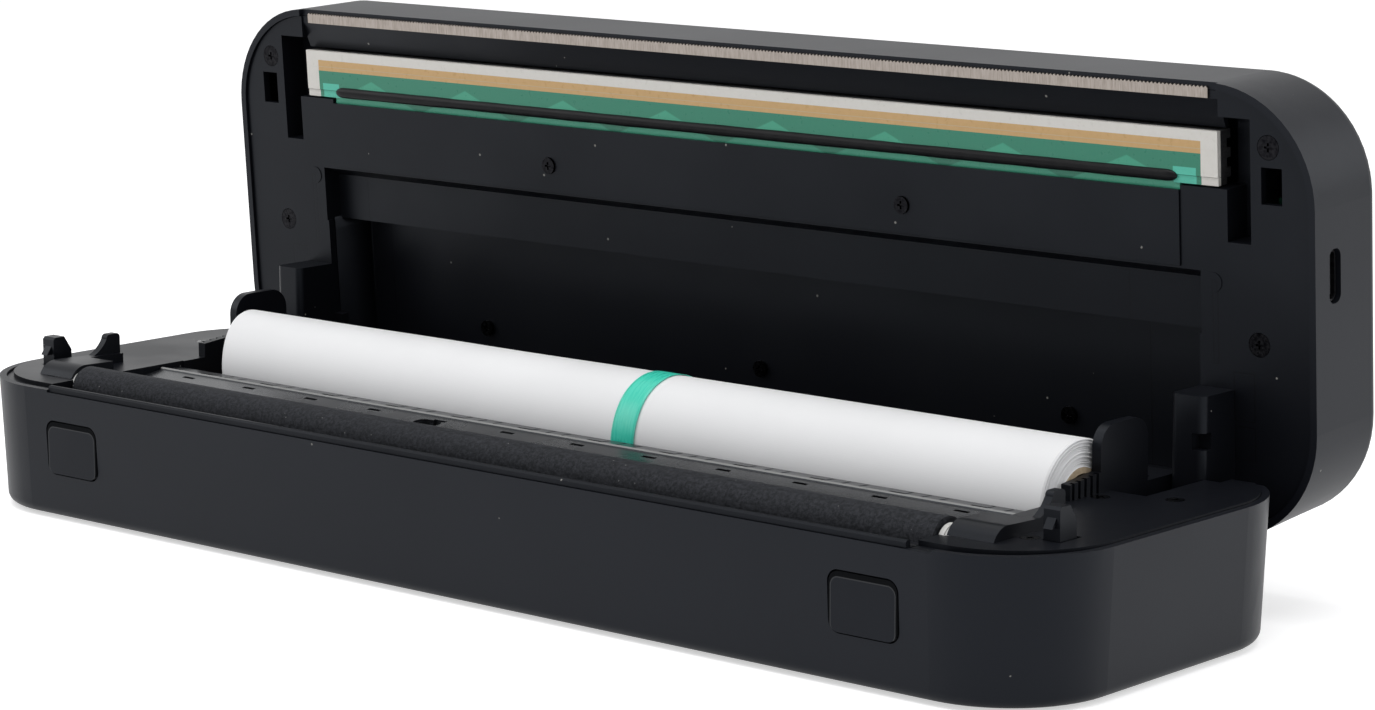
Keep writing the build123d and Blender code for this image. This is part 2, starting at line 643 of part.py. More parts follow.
with BuildPart() as base_deck:
    with BuildSketch(level(LEDGE_TOP)):
        deck_inset = RIM_WIDTH + SEAT_GAP
        with Locations((0, BASE_DEPTH / 2)):
            RectangleRounded(
                BASE_LENGTH - 2 * deck_inset, BASE_DEPTH - 2 * deck_inset, BASE_CORNER_R - deck_inset
            )
        box_between((-WINDOW_HALF, WINDOW_HALF), (0, ROLL_Y - BIN_R), Mode.SUBTRACT)
    extrude(amount=DECK_THICK)
    # The raised deck fills the closed lid's rim opening.
    with BuildSketch(level(FLANGE_TOP)):
        inside_lid_rim(MOVE_GAP)
        with Locations((0, BASE_DEPTH / 2)):
            RectangleRounded(
                BASE_LENGTH - 2 * deck_inset,
                BASE_DEPTH - 2 * deck_inset,
                BASE_CORNER_R - deck_inset,
                mode=Mode.INTERSECT,
            )
        box_between((-WINDOW_HALF, WINDOW_HALF), (0, ROLL_Y - BIN_R), Mode.SUBTRACT)
    extrude(amount=DECK_TOP - FLANGE_TOP)
    with BuildSketch(level(SADDLE_BOTTOM)):
        for side in BOTH_SIDES:
            saddle_x = sorted((side * CAP_INNER_X, side * BUSH_OUTER_X))
            box_between(saddle_x, (PLATEN_Y - NOSE_R, PLATEN_Y + NOSE_R))
    extrude(amount=LEDGE_TOP - SADDLE_BOTTOM)
    add(bin_channel(BIN_R + BIN_WALL, BIN_HALF + BIN_WALL))
    add(bin_channel(BIN_R, BIN_HALF), mode=Mode.SUBTRACT)
    with BuildSketch(level(GUIDE_SEAT)):
        box_between((-WINDOW_HALF, WINDOW_HALF), (0, ROLL_Y - BIN_R))
    extrude(amount=BASE_HEIGHT, mode=Mode.SUBTRACT)
    with BuildSketch(section(0)):
        with Locations((PLATEN_Y, PLATEN_Z)):
            Circle(BUSH_SLEEVE_R + PIN_GAP)
            Rectangle(2 * BUSH_SLEEVE_R, BASE_HEIGHT, align=(Align.CENTER, Align.MIN))
    extrude(amount=BUSH_OUTER_X + SEAT_GAP, both=True, mode=Mode.SUBTRACT)
    with BuildSketch(level(LEDGE_TOP)):
        flange_reach = BUSH_FLANGE_R + SEAT_GAP
        box_between((-CAP_INNER_X, CAP_INNER_X), (PLATEN_Y - flange_reach, PLATEN_Y + flange_reach))
    extrude(amount=DECK_TOP - LEDGE_TOP, mode=Mode.SUBTRACT)
    with BuildSketch(level(SADDLE_BOTTOM)):
        gear_reach = GEAR_TIP_R + MOVE_GAP
        gear_x = (-GEAR_OUTER_X - MOVE_GAP, -BUSH_OUTER_X)
        box_between(gear_x, (PLATEN_Y - gear_reach, PLATEN_Y + gear_reach))
        for side in BOTH_SIDES:
            peg_x = sorted((side * (PEG_INNER_X - MOVE_GAP), side * (PEG_OUTER_X + MOVE_GAP)))
            box_between(peg_x, (PEG_FRONT_Y - MOVE_GAP, PEG_REAR_Y + BUTTON_TRAVEL + MOVE_GAP))
            arm_x = sorted((side * ARM_SLOT_X[0], side * ARM_SLOT_X[1]))
            box_between(arm_x, (ARM_SLOT_Y, BASE_DEPTH))
            block_x = sorted((side * BLOCK_SLOT_X[0], side * BLOCK_SLOT_X[1]))
            box_between(block_x, (BLOCK_SLOT_Y, BASE_DEPTH))
    extrude(amount=BASE_HEIGHT, mode=Mode.SUBTRACT)
    with BuildSketch(level(DECK_TOP)):
        with Locations(DECK_SCREW_PLACES):
            Circle(SCREW_HEAD_R + SEAT_GAP)
    extrude(amount=-SCREW_HEAD, mode=Mode.SUBTRACT)
    with BuildSketch(level(LEDGE_TOP)):
        with Locations(DECK_SCREW_PLACES):
            Circle(SCREW_R + PIN_GAP)
    extrude(amount=DECK_TOP - LEDGE_TOP, mode=Mode.SUBTRACT)
    add(rear_round_waste(), mode=Mode.SUBTRACT)
finish(base_deck, "base_deck")

with BuildPart() as base_screws:
    with BuildSketch(level(DECK_TOP - SCREW_HEAD)):
        with Locations(DECK_SCREW_PLACES):
            Circle(SCREW_HEAD_R)
    extrude(amount=SCREW_HEAD)
    with BuildSketch(level(DECK_TOP - SCREW_HEAD)):
        with Locations(DECK_SCREW_PLACES):
            Circle(SCREW_R)
    extrude(amount=-(SCREW_LENGTH + DECK_TOP - SCREW_HEAD - LEDGE_TOP))
    with BuildSketch(level(DECK_TOP)):
        with Locations(DECK_SCREW_PLACES):
            Rectangle(2 * SCREW_R, CROSS_WIDTH)
            Rectangle(CROSS_WIDTH, 2 * SCREW_R)
    extrude(amount=-CROSS_DEPTH, mode=Mode.SUBTRACT)
finish(base_screws, "base_screws")


# ---- Front strip in front of the platen ------------------------------------------------
with BuildPart() as front_lip:
    with BuildSketch(section(LIP_LEFT_X)):
        with BuildLine():
            Polyline(
                (RIM_WIDTH + SEAT_GAP, LEDGE_TOP),
                (RIM_WIDTH + SEAT_GAP, FLANGE_TOP + SEAT_GAP),
                (LIP_FRONT_Y, FLANGE_TOP + SEAT_GAP),
                (LIP_FRONT_Y, LIP_TOP - LIP_BEVEL),
                (LIP_FRONT_Y + LIP_BEVEL, LIP_TOP),
                (LIP_FRONT_Y + LIP_THICK - LIP_BEVEL, LIP_TOP),
                (LIP_FRONT_Y + LIP_THICK, LIP_TOP - LIP_BEVEL),
                (LIP_FRONT_Y + LIP_THICK, FLANGE_TOP + SEAT_GAP),
                (LIP_REAR_Y - 1, FLANGE_TOP - SEAT_GAP),
                (LIP_REAR_Y, FLANGE_TOP - 1),
                (LIP_REAR_Y, LIP_BOTTOM),
                (LIP_REAR_Y - LIP_THICK, LIP_BOTTOM),
                (LIP_REAR_Y - LIP_THICK, LEDGE_TOP),
                close=True,
            )
        make_face()
    extrude(amount=LIP_RIGHT_X - LIP_LEFT_X)
finish(front_lip, "front_lip")


# ---- Paper guide and its sensor --------------------------------------------------------
GUIDE_REAR_Y = ROLL_Y - BIN_R - SEAT_GAP
GUIDE_SLOPE = (GUIDE_TOP - GUIDE_FRONT_TOP) / (GUIDE_RIDGE_Y - GUIDE_FRONT_Y)

with BuildPart() as paper_guide:
    with BuildSketch(section(-GUIDE_HALF)):
        with BuildLine():
            Polyline(
                (GUIDE_FRONT_Y, CRADLE_TOP),
                (GUIDE_FRONT_Y, GUIDE_FRONT_TOP),
                (GUIDE_RIDGE_Y - GUIDE_RIDGE_HALF, GUIDE_TOP),
                (GUIDE_RIDGE_Y, GUIDE_TOP + GUIDE_RIDGE_PROUD),
                (GUIDE_RIDGE_Y + GUIDE_RIDGE_HALF, GUIDE_TOP),
                (GUIDE_REAR_Y - GUIDE_RIDGE_HALF, GUIDE_TOP - GUIDE_REAR_DROP),
                (GUIDE_REAR_Y, GUIDE_TOP - GUIDE_REAR_DROP - GUIDE_RIDGE_HALF),
                (GUIDE_REAR_Y, GUIDE_SEAT),
                (GUIDE_REAR_Y - GUIDE_LEG, GUIDE_SEAT),
                (GUIDE_REAR_Y - GUIDE_LEG, GUIDE_TOP - GUIDE_THICK),
                (GUIDE_RIDGE_Y, GUIDE_TOP - GUIDE_THICK),
                (GUIDE_FRONT_Y + GUIDE_LEG, CRADLE_TOP + GUIDE_SLOPE * GUIDE_LEG),
                (GUIDE_FRONT_Y + GUIDE_LEG, CRADLE_TOP),
                close=True,
            )
        make_face()
    extrude(amount=2 * GUIDE_HALF)
    with BuildSketch(level(GUIDE_SEAT)):
        with Locations((0, GUIDE_RIDGE_Y)):
            with GridLocations(GUIDE_SLOT_PITCH, GUIDE_SLOT_ROW, GUIDE_SLOT_COUNT, 2):
                Rectangle(*GUIDE_SLOT)
        with Locations((SENSOR_X, SENSOR_Y)):
            SlotOverall(SENSOR_SIZE[0] + 3 * MOVE_GAP + SENSOR_SIZE[1] / 2, SENSOR_SIZE[1] + 2 * MOVE_GAP)
    extrude(amount=BASE_HEIGHT, mode=Mode.SUBTRACT)
finish(paper_guide, "paper_guide")

with BuildPart() as paper_sensor:
    with BuildSketch(level(SENSOR_BOARD_Z)):
        with Locations((SENSOR_X, SENSOR_Y)):
            Rectangle(*SENSOR_BOARD)
    extrude(amount=SENSOR_BOARD_THICK)
    with BuildSketch(level(SENSOR_BOARD_Z + SENSOR_BOARD_THICK)):
        with Locations((SENSOR_X, SENSOR_Y)):
            Rectangle(*SENSOR_SIZE)
    extrude(amount=SENSOR_HEIGHT)
finish(paper_sensor, "paper_sensor")

with BuildPart() as battery_pack:
    with BuildSketch(section(-BATTERY_HALF)):
        with Locations((BATTERY_Y, BATTERY_Z)):
            Circle(BATTERY_R)
    extrude(amount=2 * BATTERY_HALF)
    fillet(battery_pack.edges().filter_by(GeomType.CIRCLE), BATTERY_ROUND)
finish(battery_pack, "battery_pack")


# ---- Platen, its bushes and the bearing caps -------------------------------------------
with BuildPart() as platen_shaft:
    with BuildSketch(section(-BUSH_OUTER_X - SEAT_GAP)):
        with Locations((PLATEN_Y, PLATEN_Z)):
            Circle(SHAFT_R)
    extrude(amount=2 * BUSH_OUTER_X + SEAT_GAP)
    with BuildSketch(section(-GEAR_OUTER_X - SHAFT_STUB)):
        with Locations((PLATEN_Y, PLATEN_Z)):
            Circle(GEAR_SHAFT_R)
    extrude(amount=GEAR_OUTER_X + SHAFT_STUB - BUSH_OUTER_X)
finish(platen_shaft, "platen_shaft")

with BuildPart() as platen_rubber:
    with BuildSketch(section(-PLATEN_HALF)):
        with Locations((PLATEN_Y, PLATEN_Z)):
            Circle(PLATEN_R)
            Circle(SHAFT_R + RUBBER_GAP, mode=Mode.SUBTRACT)
    extrude(amount=2 * PLATEN_HALF)
finish(platen_rubber, "platen_rubber")

BUSH_INNER_X = PLATEN_HALF + MOVE_GAP
with BuildPart() as platen_bush_right:
    with BuildSketch(section(BUSH_INNER_X)):
        with Locations((PLATEN_Y, PLATEN_Z)):
            Circle(BUSH_FLANGE_R)
    extrude(amount=BUSH_FLANGE_THICK)
    with BuildSketch(section(BUSH_INNER_X)):
        with Locations((PLATEN_Y, PLATEN_Z)):
            Circle(BUSH_SLEEVE_R)
    extrude(amount=BUSH_OUTER_X - BUSH_INNER_X)
    with BuildSketch(section(BUSH_INNER_X)):
        with Locations((PLATEN_Y, PLATEN_Z)):
            Circle(SHAFT_R + PIN_GAP)
    extrude(amount=BUSH_OUTER_X - BUSH_INNER_X, mode=Mode.SUBTRACT)
finish(platen_bush_right, "platen_bush_right")
finish(mirrored(platen_bush_right), "platen_bush_left")

# The cap holds the bush down, covers the gear and carries the fin that guides the paper.
with BuildPart() as bearing_cap_right:
    with BuildSketch(section(CAP_INNER_X)):
        with Locations((NOSE_Y, NOSE_Z)):
            Circle(NOSE_R)
        with BuildLine():
            Polyline(
                (NOSE_Y, NOSE_Z),
                (NOSE_Y, NOSE_Z + NOSE_R),
                (CAP_REAR_Y, CAP_REAR_TOP),
                (CAP_REAR_Y, NOSE_Z),
                close=True,
            )
        make_face()
        box_between((0, BASE_DEPTH), (0, DECK_TOP), Mode.SUBTRACT)
    extrude(amount=CAP_OUTER_X - CAP_INNER_X)
    with BuildSketch(section(RAIL_INNER_X)):
        with BuildLine():
            Polyline(
                (CAP_REAR_Y, DECK_TOP),
                (CAP_REAR_Y, CAP_REAR_TOP),
                (FIN_REAR_Y, RAIL_TOP),
                (FIN_REAR_Y, DECK_TOP),
                close=True,
            )
        make_face()
    extrude(amount=CAP_OUTER_X - RAIL_INNER_X)
    with BuildSketch(section(FIN_INNER_X)):
        with BuildLine():
            Line((FIN_REAR_Y, DECK_TOP), (FIN_FRONT_Y, DECK_TOP))
            Line((FIN_FRONT_Y, DECK_TOP), (FIN_FRONT_Y, RAIL_TOP))
            RadiusArc((FIN_FRONT_Y, RAIL_TOP), (FIN_TIP_Y, FIN_TOP - FIN_TIP_R), -FIN_CURVE_R)
            RadiusArc((FIN_TIP_Y, FIN_TOP - FIN_TIP_R), (FIN_TIP_Y + FIN_TIP_R, FIN_TOP), FIN_TIP_R)
            Line((FIN_TIP_Y + FIN_TIP_R, FIN_TOP), (FIN_REAR_Y - FIN_TIP_R, FIN_TOP))
            RadiusArc((FIN_REAR_Y - FIN_TIP_R, FIN_TOP), (FIN_REAR_Y, FIN_TOP - FIN_TIP_R), FIN_TIP_R)
            Line((FIN_REAR_Y, FIN_TOP - FIN_TIP_R), (FIN_REAR_Y, DECK_TOP))
        make_face()
    extrude(amount=CAP_OUTER_X - FIN_INNER_X)
    with BuildSketch(section(0)):
        with Locations((PLATEN_Y, PLATEN_Z)):
            Circle(BUSH_SLEEVE_R + PIN_GAP)
    extrude(amount=BUSH_OUTER_X + SEAT_GAP, mode=Mode.SUBTRACT)
    with BuildSketch(section(BUSH_OUTER_X)):
        with Locations((PLATEN_Y, PLATEN_Z)):
            Circle(GEAR_TIP_R + MOVE_GAP)
            Rectangle(2 * GEAR_TIP_R + 2 * MOVE_GAP, BASE_HEIGHT, align=(Align.CENTER, Align.MAX))
    extrude(amount=GEAR_OUTER_X + 2 * MOVE_GAP - BUSH_OUTER_X, mode=Mode.SUBTRACT)
finish(bearing_cap_right, "bearing_cap_right")
finish(mirrored(bearing_cap_right), "bearing_cap_left")


# ---- Gear train, motor and their bracket -----------------------------------------------
def gear_places():
    """Axes of the platen gear, idler and pinion, and the angle of a tooth on each."""
    platen_idler = GEAR_MODULE * (PLATEN_TEETH + IDLER_TEETH) / 2 + GEAR_PLAY
    idler_pinion = GEAR_MODULE * (IDLER_TEETH + PINION_TEETH) / 2 + GEAR_PLAY
    idler = (PLATEN_Y + math.sqrt(platen_idler**2 - IDLER_DROP**2), PLATEN_Z - IDLER_DROP)
    pinion = (idler[0] + math.sqrt(idler_pinion**2 - PINION_DROP**2), idler[1] - PINION_DROP)
    first = math.atan2(idler[1] - PLATEN_Z, idler[0] - PLATEN_Y)
    second = math.atan2(pinion[1] - idler[1], pinion[0] - idler[0])
    idler_tooth = first + math.pi + math.pi / IDLER_TEETH
    pinion_tooth = second + math.pi + (math.pi - IDLER_TEETH * (idler_tooth - second)) / PINION_TEETH
    return idler, pinion, first, idler_tooth, pinion_tooth


def gear(centre, teeth, tooth_angle, bore_r):
    """Straight-flanked spur gear; a tooth points along tooth_angle."""
    pitch_r = GEAR_MODULE * teeth / 2
    root_r = pitch_r - GEAR_DEDENDUM * GEAR_MODULE
    tip_r = pitch_r + GEAR_ADDENDUM * GEAR_MODULE
    half_tooth = math.pi * GEAR_MODULE / 4 * TOOTH_FILL
    flank = math.tan(math.radians(PRESSURE_ANGLE))
    root_half = (half_tooth + (pitch_r - root_r) * flank * ROOT_FLANK) / root_r
    tip_half = (half_tooth - (tip_r - pitch_r) * flank) / tip_r
    corners = []
    for tooth in range(teeth):
        middle = tooth_angle + 2 * math.pi * tooth / teeth
        shape = ((root_r, -root_half), (tip_r, -tip_half), (tip_r, tip_half), (root_r, root_half))
        for radius, turn in shape:
            y = centre[0] + radius * math.cos(middle + turn)
            z = centre[1] + radius * math.sin(middle + turn)
            corners.append((y, z))
    with BuildPart() as wheel:
        with BuildSketch(section(-GEAR_OUTER_X)):
            with BuildLine():
                Polyline(*corners, close=True)
            make_face()
            with Locations(centre):
                Circle(bore_r, mode=Mode.SUBTRACT)
        extrude(amount=GEAR_WIDTH)
    return wheel


IDLER_AT, PINION_AT, PLATEN_TOOTH, IDLER_TOOTH, PINION_TOOTH = gear_places()
finish(gear((PLATEN_Y, PLATEN_Z), PLATEN_TEETH, PLATEN_TOOTH, GEAR_SHAFT_R + RUBBER_GAP), "platen_gear")
finish(gear(IDLER_AT, IDLER_TEETH, IDLER_TOOTH, IDLER_PIN_R + PIN_GAP), "idler_gear")

BRACKET_OUTER_X = GEAR_INNER_X - MOVE_GAP
BRACKET_INNER_X = BRACKET_OUTER_X - BRACKET_THICK

with BuildPart() as motor_pinion:
    add(gear(PINION_AT, PINION_TEETH, PINION_TOOTH, MOTOR_SHAFT_R).part)
    with BuildSketch(section(-GEAR_OUTER_X)):
        with Locations(PINION_AT):
            Circle(MOTOR_SHAFT_R)
    extrude(amount=GEAR_OUTER_X - BRACKET_INNER_X + MOTOR_LENGTH / 2)
finish(motor_pinion, "motor_pinion")

with BuildPart() as idler_pin:
    with BuildSketch(section(-GEAR_OUTER_X - SHAFT_STUB)):
        with Locations(IDLER_AT):
            Circle(IDLER_PIN_R)
    extrude(amount=GEAR_OUTER_X + SHAFT_STUB - BRACKET_INNER_X)
finish(idler_pin, "idler_pin")

with BuildPart() as motor_bracket:
    with BuildSketch(section(-BRACKET_OUTER_X)):
        box_between((BRACKET_FRONT_Y, BRACKET_REAR_Y), (SHELL_FLOOR, SADDLE_BOTTOM - MOVE_GAP))
        with Locations(PINION_AT):
            Circle(MOTOR_BOSS_R + PIN_GAP, mode=Mode.SUBTRACT)
        with Locations(IDLER_AT):
            Circle(IDLER_PIN_R + PIN_GAP, mode=Mode.SUBTRACT)
    extrude(amount=BRACKET_THICK)
    with BuildSketch(level(SHELL_FLOOR)):
        bracket_foot = (-BRACKET_INNER_X, -BRACKET_INNER_X + BRACKET_FOOT)
        box_between(bracket_foot, (BRACKET_FRONT_Y, BRACKET_REAR_Y))
    extrude(amount=BRACKET_THICK)
finish(motor_bracket, "motor_bracket")

with BuildPart() as drive_motor:
    with BuildSketch(section(-BRACKET_INNER_X)):
        with Locations(PINION_AT):
            Circle(MOTOR_R)
    extrude(amount=MOTOR_LENGTH)
    with BuildSketch(section(-BRACKET_INNER_X)):
        with Locations(PINION_AT):
            Circle(MOTOR_BOSS_R)
    extrude(amount=-MOTOR_BOSS_LENGTH)
    with BuildSketch(section(-BRACKET_OUTER_X)):
        with Locations(PINION_AT):
            Circle(MOTOR_SHAFT_R + PIN_GAP)
    extrude(amount=BRACKET_THICK + MOTOR_LENGTH / 2 + MOVE_GAP, mode=Mode.SUBTRACT)
finish(drive_motor, "drive_motor")


# ---- Paper roll ------------------------------------------------------------------------
ROLL_LENGTH = ROLL_RIGHT_X - ROLL_LEFT_X

with BuildPart() as roll_core:
    with BuildSketch(section(ROLL_LEFT_X)):
        with Locations((ROLL_Y, ROLL_Z)):
            Circle(CORE_R)
            Circle(CORE_R - CORE_WALL, mode=Mode.SUBTRACT)
    extrude(amount=ROLL_LENGTH)
finish(roll_core, "roll_core")

with BuildPart() as paper_roll:
    with BuildSketch(section(ROLL_LEFT_X)):
        with Locations((ROLL_Y, ROLL_Z)):
            Circle(ROLL_R)
            Circle(CORE_R + PIN_GAP, mode=Mode.SUBTRACT)
    extrude(amount=ROLL_LENGTH)
finish(paper_roll, "paper_roll")

with BuildPart() as sealing_tape:
    with BuildSketch(section(TAPE_X - TAPE_WIDTH / 2)):
        with BuildLine():
            tape_outer = CenterArc((ROLL_Y, ROLL_Z), ROLL_R + TAPE_THICK, TAPE_FROM, TAPE_TO - TAPE_FROM)
            tape_inner = CenterArc((ROLL_Y, ROLL_Z), ROLL_R, TAPE_FROM, TAPE_TO - TAPE_FROM)
            Line(tape_outer @ 0, tape_inner @ 0)
            Line(tape_outer @ 1, tape_inner @ 1)
        make_face()
    extrude(amount=TAPE_WIDTH)
finish(sealing_tape, "sealing_tape")

# Upright cheek at the end of the roll, with a low toothed wing ahead of it.
with BuildPart() as roll_holder_right:
    with BuildSketch(section(BIN_HALF)):
        box_between((HOLDER_FRONT_Y, HOLDER_REAR_Y), (DECK_TOP, HOLDER_TOP))
    extrude(amount=HOLDER_THICK)
    top_corners = roll_holder_right.edges().filter_by(Axis.X).group_by(Axis.Z)[-1]
    fillet(top_corners, HOLDER_CORNER_R)
    with BuildSketch(section(BIN_HALF)):
        with BuildLine():
            Polyline(
                (WING_FRONT_Y, DECK_TOP),
                (WING_FRONT_Y, WING_TOP - WING_DROP),
                (HOLDER_FRONT_Y, WING_TOP),
                (HOLDER_FRONT_Y, DECK_TOP),
                close=True,
            )
        make_face()
    extrude(amount=HOLDER_THICK)
    with BuildSketch(level(DECK_TOP)):
        with Locations((BIN_HALF + HOLDER_THICK, (WING_FRONT_Y + HOLDER_FRONT_Y) / 2)):
            with GridLocations(1, (HOLDER_FRONT_Y - WING_FRONT_Y) / WING_TEETH, 1, WING_TEETH):
                Rectangle(2 * WING_TOOTH[0], WING_TOOTH[1])
    extrude(amount=WING_TOP, mode=Mode.SUBTRACT)
finish(roll_holder_right, "roll_holder_right")
finish(mirrored(roll_holder_right), "roll_holder_left")


# ---- Hinge blocks and arms on the lid, and the pins they turn on -----------------------
# The block stands out of the lid's face, and drops into a slot in the deck as the lid shuts.
BLOCK_FRONT_Y = HINGE_Y - BLOCK_KNUCKLE_R

with BuildPart() as hinge_block_right:
    with BuildSketch(section(BLOCK_INNER_X)):
        with Locations((HINGE_Y, HINGE_Z)):
            Circle(BLOCK_KNUCKLE_R)
        with BuildLine():
            Polyline(
                (BLOCK_FRONT_Y, HINGE_Z),
                (BLOCK_FRONT_Y, BLOCK_TOP),
                (lid_face_y(BLOCK_TOP, FACE_INSET), BLOCK_TOP),
                (lid_face_y(HINGE_Z, FACE_INSET), HINGE_Z),
                close=True,
            )
        make_face()
    extrude(amount=BLOCK_OUTER_X - BLOCK_INNER_X)
    front_corners = hinge_block_right.edges().filter_by(Axis.Z).group_by(Axis.Y)[0]
    fillet(front_corners, BLOCK_ROUND)
    with BuildSketch(level(BLOCK_NOTCH_Z)):
        with Locations((BLOCK_OUTER_X, BLOCK_FRONT_Y)):
            Rectangle(2 * BLOCK_NOTCH[0], 2 * BLOCK_NOTCH[0])
    extrude(amount=BLOCK_NOTCH[1], mode=Mode.SUBTRACT)
    with BuildSketch(section(BLOCK_INNER_X)):
        with Locations((HINGE_Y, HINGE_Z)):
            Circle(HINGE_PIN_R + PIN_GAP)
    extrude(amount=BLOCK_OUTER_X - BLOCK_INNER_X, mode=Mode.SUBTRACT)
finish(hinge_block_right, "hinge_block_right")
finish(mirrored(hinge_block_right), "hinge_block_left")

HINGE_PIN_INNER_X = BLOCK_SLOT_X[0] - EAR_THICK
with BuildPart() as hinge_pin_right:
    with BuildSketch(section(HINGE_PIN_INNER_X)):
        with Locations((HINGE_Y, HINGE_Z)):
            Circle(HINGE_PIN_R)
    extrude(amount=HINGE_PIN_END_X - HINGE_PIN_INNER_X)
finish(hinge_pin_right, "hinge_pin_right")
finish(mirrored(hinge_pin_right), "hinge_pin_left")

AXIS_V = EDGE_BEHIND
AXIS_W = -EDGE_ABOVE
with BuildPart() as hinge_arm_right:
    with BuildSketch(lid_section(ARM_OUTER_X)):
        with Locations((AXIS_V, AXIS_W)):
            Circle(KNUCKLE_R)
        box_between((AXIS_V - ARM_HALF_WIDTH, AXIS_V + ARM_HALF_WIDTH), (AXIS_W, LID_INSIDE))
        with BuildLine():
            Polyline(
                (AXIS_V, ARM_GUSSET_W),
                (ARM_FLANGE_TOP_V, LID_INSIDE - ARM_FLANGE_THICK),
                (ARM_FLANGE_TOP_V, LID_INSIDE),
                (AXIS_V, LID_INSIDE),
                close=True,
            )
        make_face()
    extrude(amount=ARM_THICK)
    with BuildSketch(lid_face(LID_INSIDE)):
        flange_v = (AXIS_V - ARM_HALF_WIDTH, ARM_FLANGE_TOP_V)
        box_between((ARM_FLANGE_INNER_X, ARM_OUTER_X), flange_v)
    extrude(amount=ARM_FLANGE_THICK)
    with BuildSketch(section(0)):
        with Locations((HINGE_Y, HINGE_Z)):
            Circle(HINGE_PIN_R + PIN_GAP)
    extrude(amount=BASE_LENGTH, mode=Mode.SUBTRACT)
finish(hinge_arm_right, "hinge_arm_right")
finish(mirrored(hinge_arm_right), "hinge_arm_left")


# ---- Latch buttons, slides and springs -------------------------------------------------
def coil(start, direction, radius, wire_r, pitch, length):
    """Helical spring whose axis runs from start along direction."""
    with BuildPart() as spring:
        with BuildLine() as wire:
            Helix(pitch=pitch, height=length, radius=radius, center=start, direction=direction)
        with BuildSketch(Plane(origin=wire.line @ 0, z_dir=wire.line % 0)):
            Circle(wire_r)
        sweep(is_frenet=True)
    return spring.part


with BuildPart() as release_button_right:
    with BuildSketch(facing(BUTTON_FRONT_Y)):
        with Locations((BUTTON_X, BUTTON_Z)):
            RectangleRounded(*BUTTON_SIZE, BUTTON_R)
    extrude(amount=-(SLIDE_BACK_Y - BUTTON_FRONT_Y))
    with BuildSketch(facing(SLIDE_BACK_Y)):
        with Locations((BUTTON_X, BUTTON_Z)):
            button_brim = 2 * BUTTON_FLANGE
            RectangleRounded(BUTTON_SIZE[0] + button_brim, BUTTON_SIZE[1] + button_brim, BUTTON_R)
    extrude(amount=BUTTON_FLANGE)
finish(release_button_right, "release_button_right")
finish(mirrored(release_button_right), "release_button_left")

with BuildPart() as latch_slide_right:
    button_left = BUTTON_X - BUTTON_SIZE[0] / 2
    with BuildSketch(level(SLIDE_BOTTOM)):
        with BuildLine():
            Polyline(
                (button_left, SLIDE_BACK_Y),
                (SLIDE_TURN_X, SLIDE_BACK_Y),
                (PEG_OUTER_X, SLIDE_BACK_Y + PEG_OUTER_X - SLIDE_TURN_X),
                (PEG_OUTER_X, PEG_REAR_Y),
                (PEG_INNER_X, PEG_REAR_Y),
                (PEG_INNER_X, SLIDE_BACK_Y + SLIDE_DEPTH + PEG_INNER_X - SLIDE_TURN_X),
                (SLIDE_TURN_X, SLIDE_BACK_Y + SLIDE_DEPTH),
                (button_left, SLIDE_BACK_Y + SLIDE_DEPTH),
                close=True,
            )
        make_face()
    extrude(amount=SLIDE_THICK)
    with BuildSketch(level(SLIDE_BOTTOM)):
        carrier_x = (button_left, button_left + BUTTON_SIZE[0])
        box_between(carrier_x, (SLIDE_BACK_Y, SLIDE_BACK_Y + SLIDE_CARRIER_THICK))
    extrude(amount=BUTTON_Z + BUTTON_SIZE[1] / 2 - SLIDE_BOTTOM)
    with BuildSketch(section(PEG_INNER_X)):
        with BuildLine():
            Polyline(
                (PEG_FRONT_Y, SLIDE_BOTTOM),
                (PEG_FRONT_Y, PEG_TOP - PEG_BEVEL),
                (PEG_FRONT_Y + PEG_BEVEL, PEG_TOP),
                (PEG_REAR_Y - PEG_SLOPE[0], PEG_TOP),
                (PEG_REAR_Y, PEG_TOP - PEG_SLOPE[1]),
                (PEG_REAR_Y, SLIDE_BOTTOM),
                close=True,
            )
        make_face()
    extrude(amount=PEG_OUTER_X - PEG_INNER_X)
    with BuildSketch(section(CATCH_X - CATCH_WIDTH / 2)):
        with BuildLine():
            Polyline(
                (PEG_FRONT_Y, CATCH_BOTTOM),
                (PEG_FRONT_Y - CATCH_DEPTH, CATCH_BOTTOM),
                (PEG_FRONT_Y, CATCH_TOP),
                close=True,
            )
        make_face()
    extrude(amount=CATCH_WIDTH)
finish(latch_slide_right, "latch_slide_right")
finish(mirrored(latch_slide_right), "latch_slide_left")

with BuildPart() as release_spring_right:
    spring_y = SLIDE_BACK_Y + SLIDE_CARRIER_THICK + SPRING_WIRE
    spring_start = (BUTTON_X, FRONT + spring_y, FOOT_PROUD + BUTTON_Z)
    add(coil(spring_start, (0, 1, 0), SPRING_R, SPRING_WIRE, SPRING_PITCH, SPRING_LENGTH - 2 * SPRING_WIRE))
finish(release_spring_right, "release_spring_right")
finish(mirrored(release_spring_right), "release_spring_left")


# ---- Lid shell -------------------------------------------------------------------------
LID_SCREW_PLACES = [p for x, v in LID_SCREWS for p in both_ways(x, v)]
TROUGH_SCREW_PLACES = [(x, TROUGH_SCREW_V) for x in (-TROUGH_SCREW_X, 0, TROUGH_SCREW_X)]
TROUGH_BACK = TROUGH_DEEP + TROUGH_WALL
HEAD_SPRING_PLACES = [(x, HEAD_SPRING_V) for x in HEAD_SPRING_X]
HEAD_POST_W = HEATSINK_BACK + HEAD_SPRING_LENGTH + HEAD_FLOAT + MOVE_GAP
BOARD_BACK = MAIN_BOARD_DEEP + MAIN_BOARD_THICK
USB_FACE = MAIN_BOARD_DEEP - USB_SIZE[1]

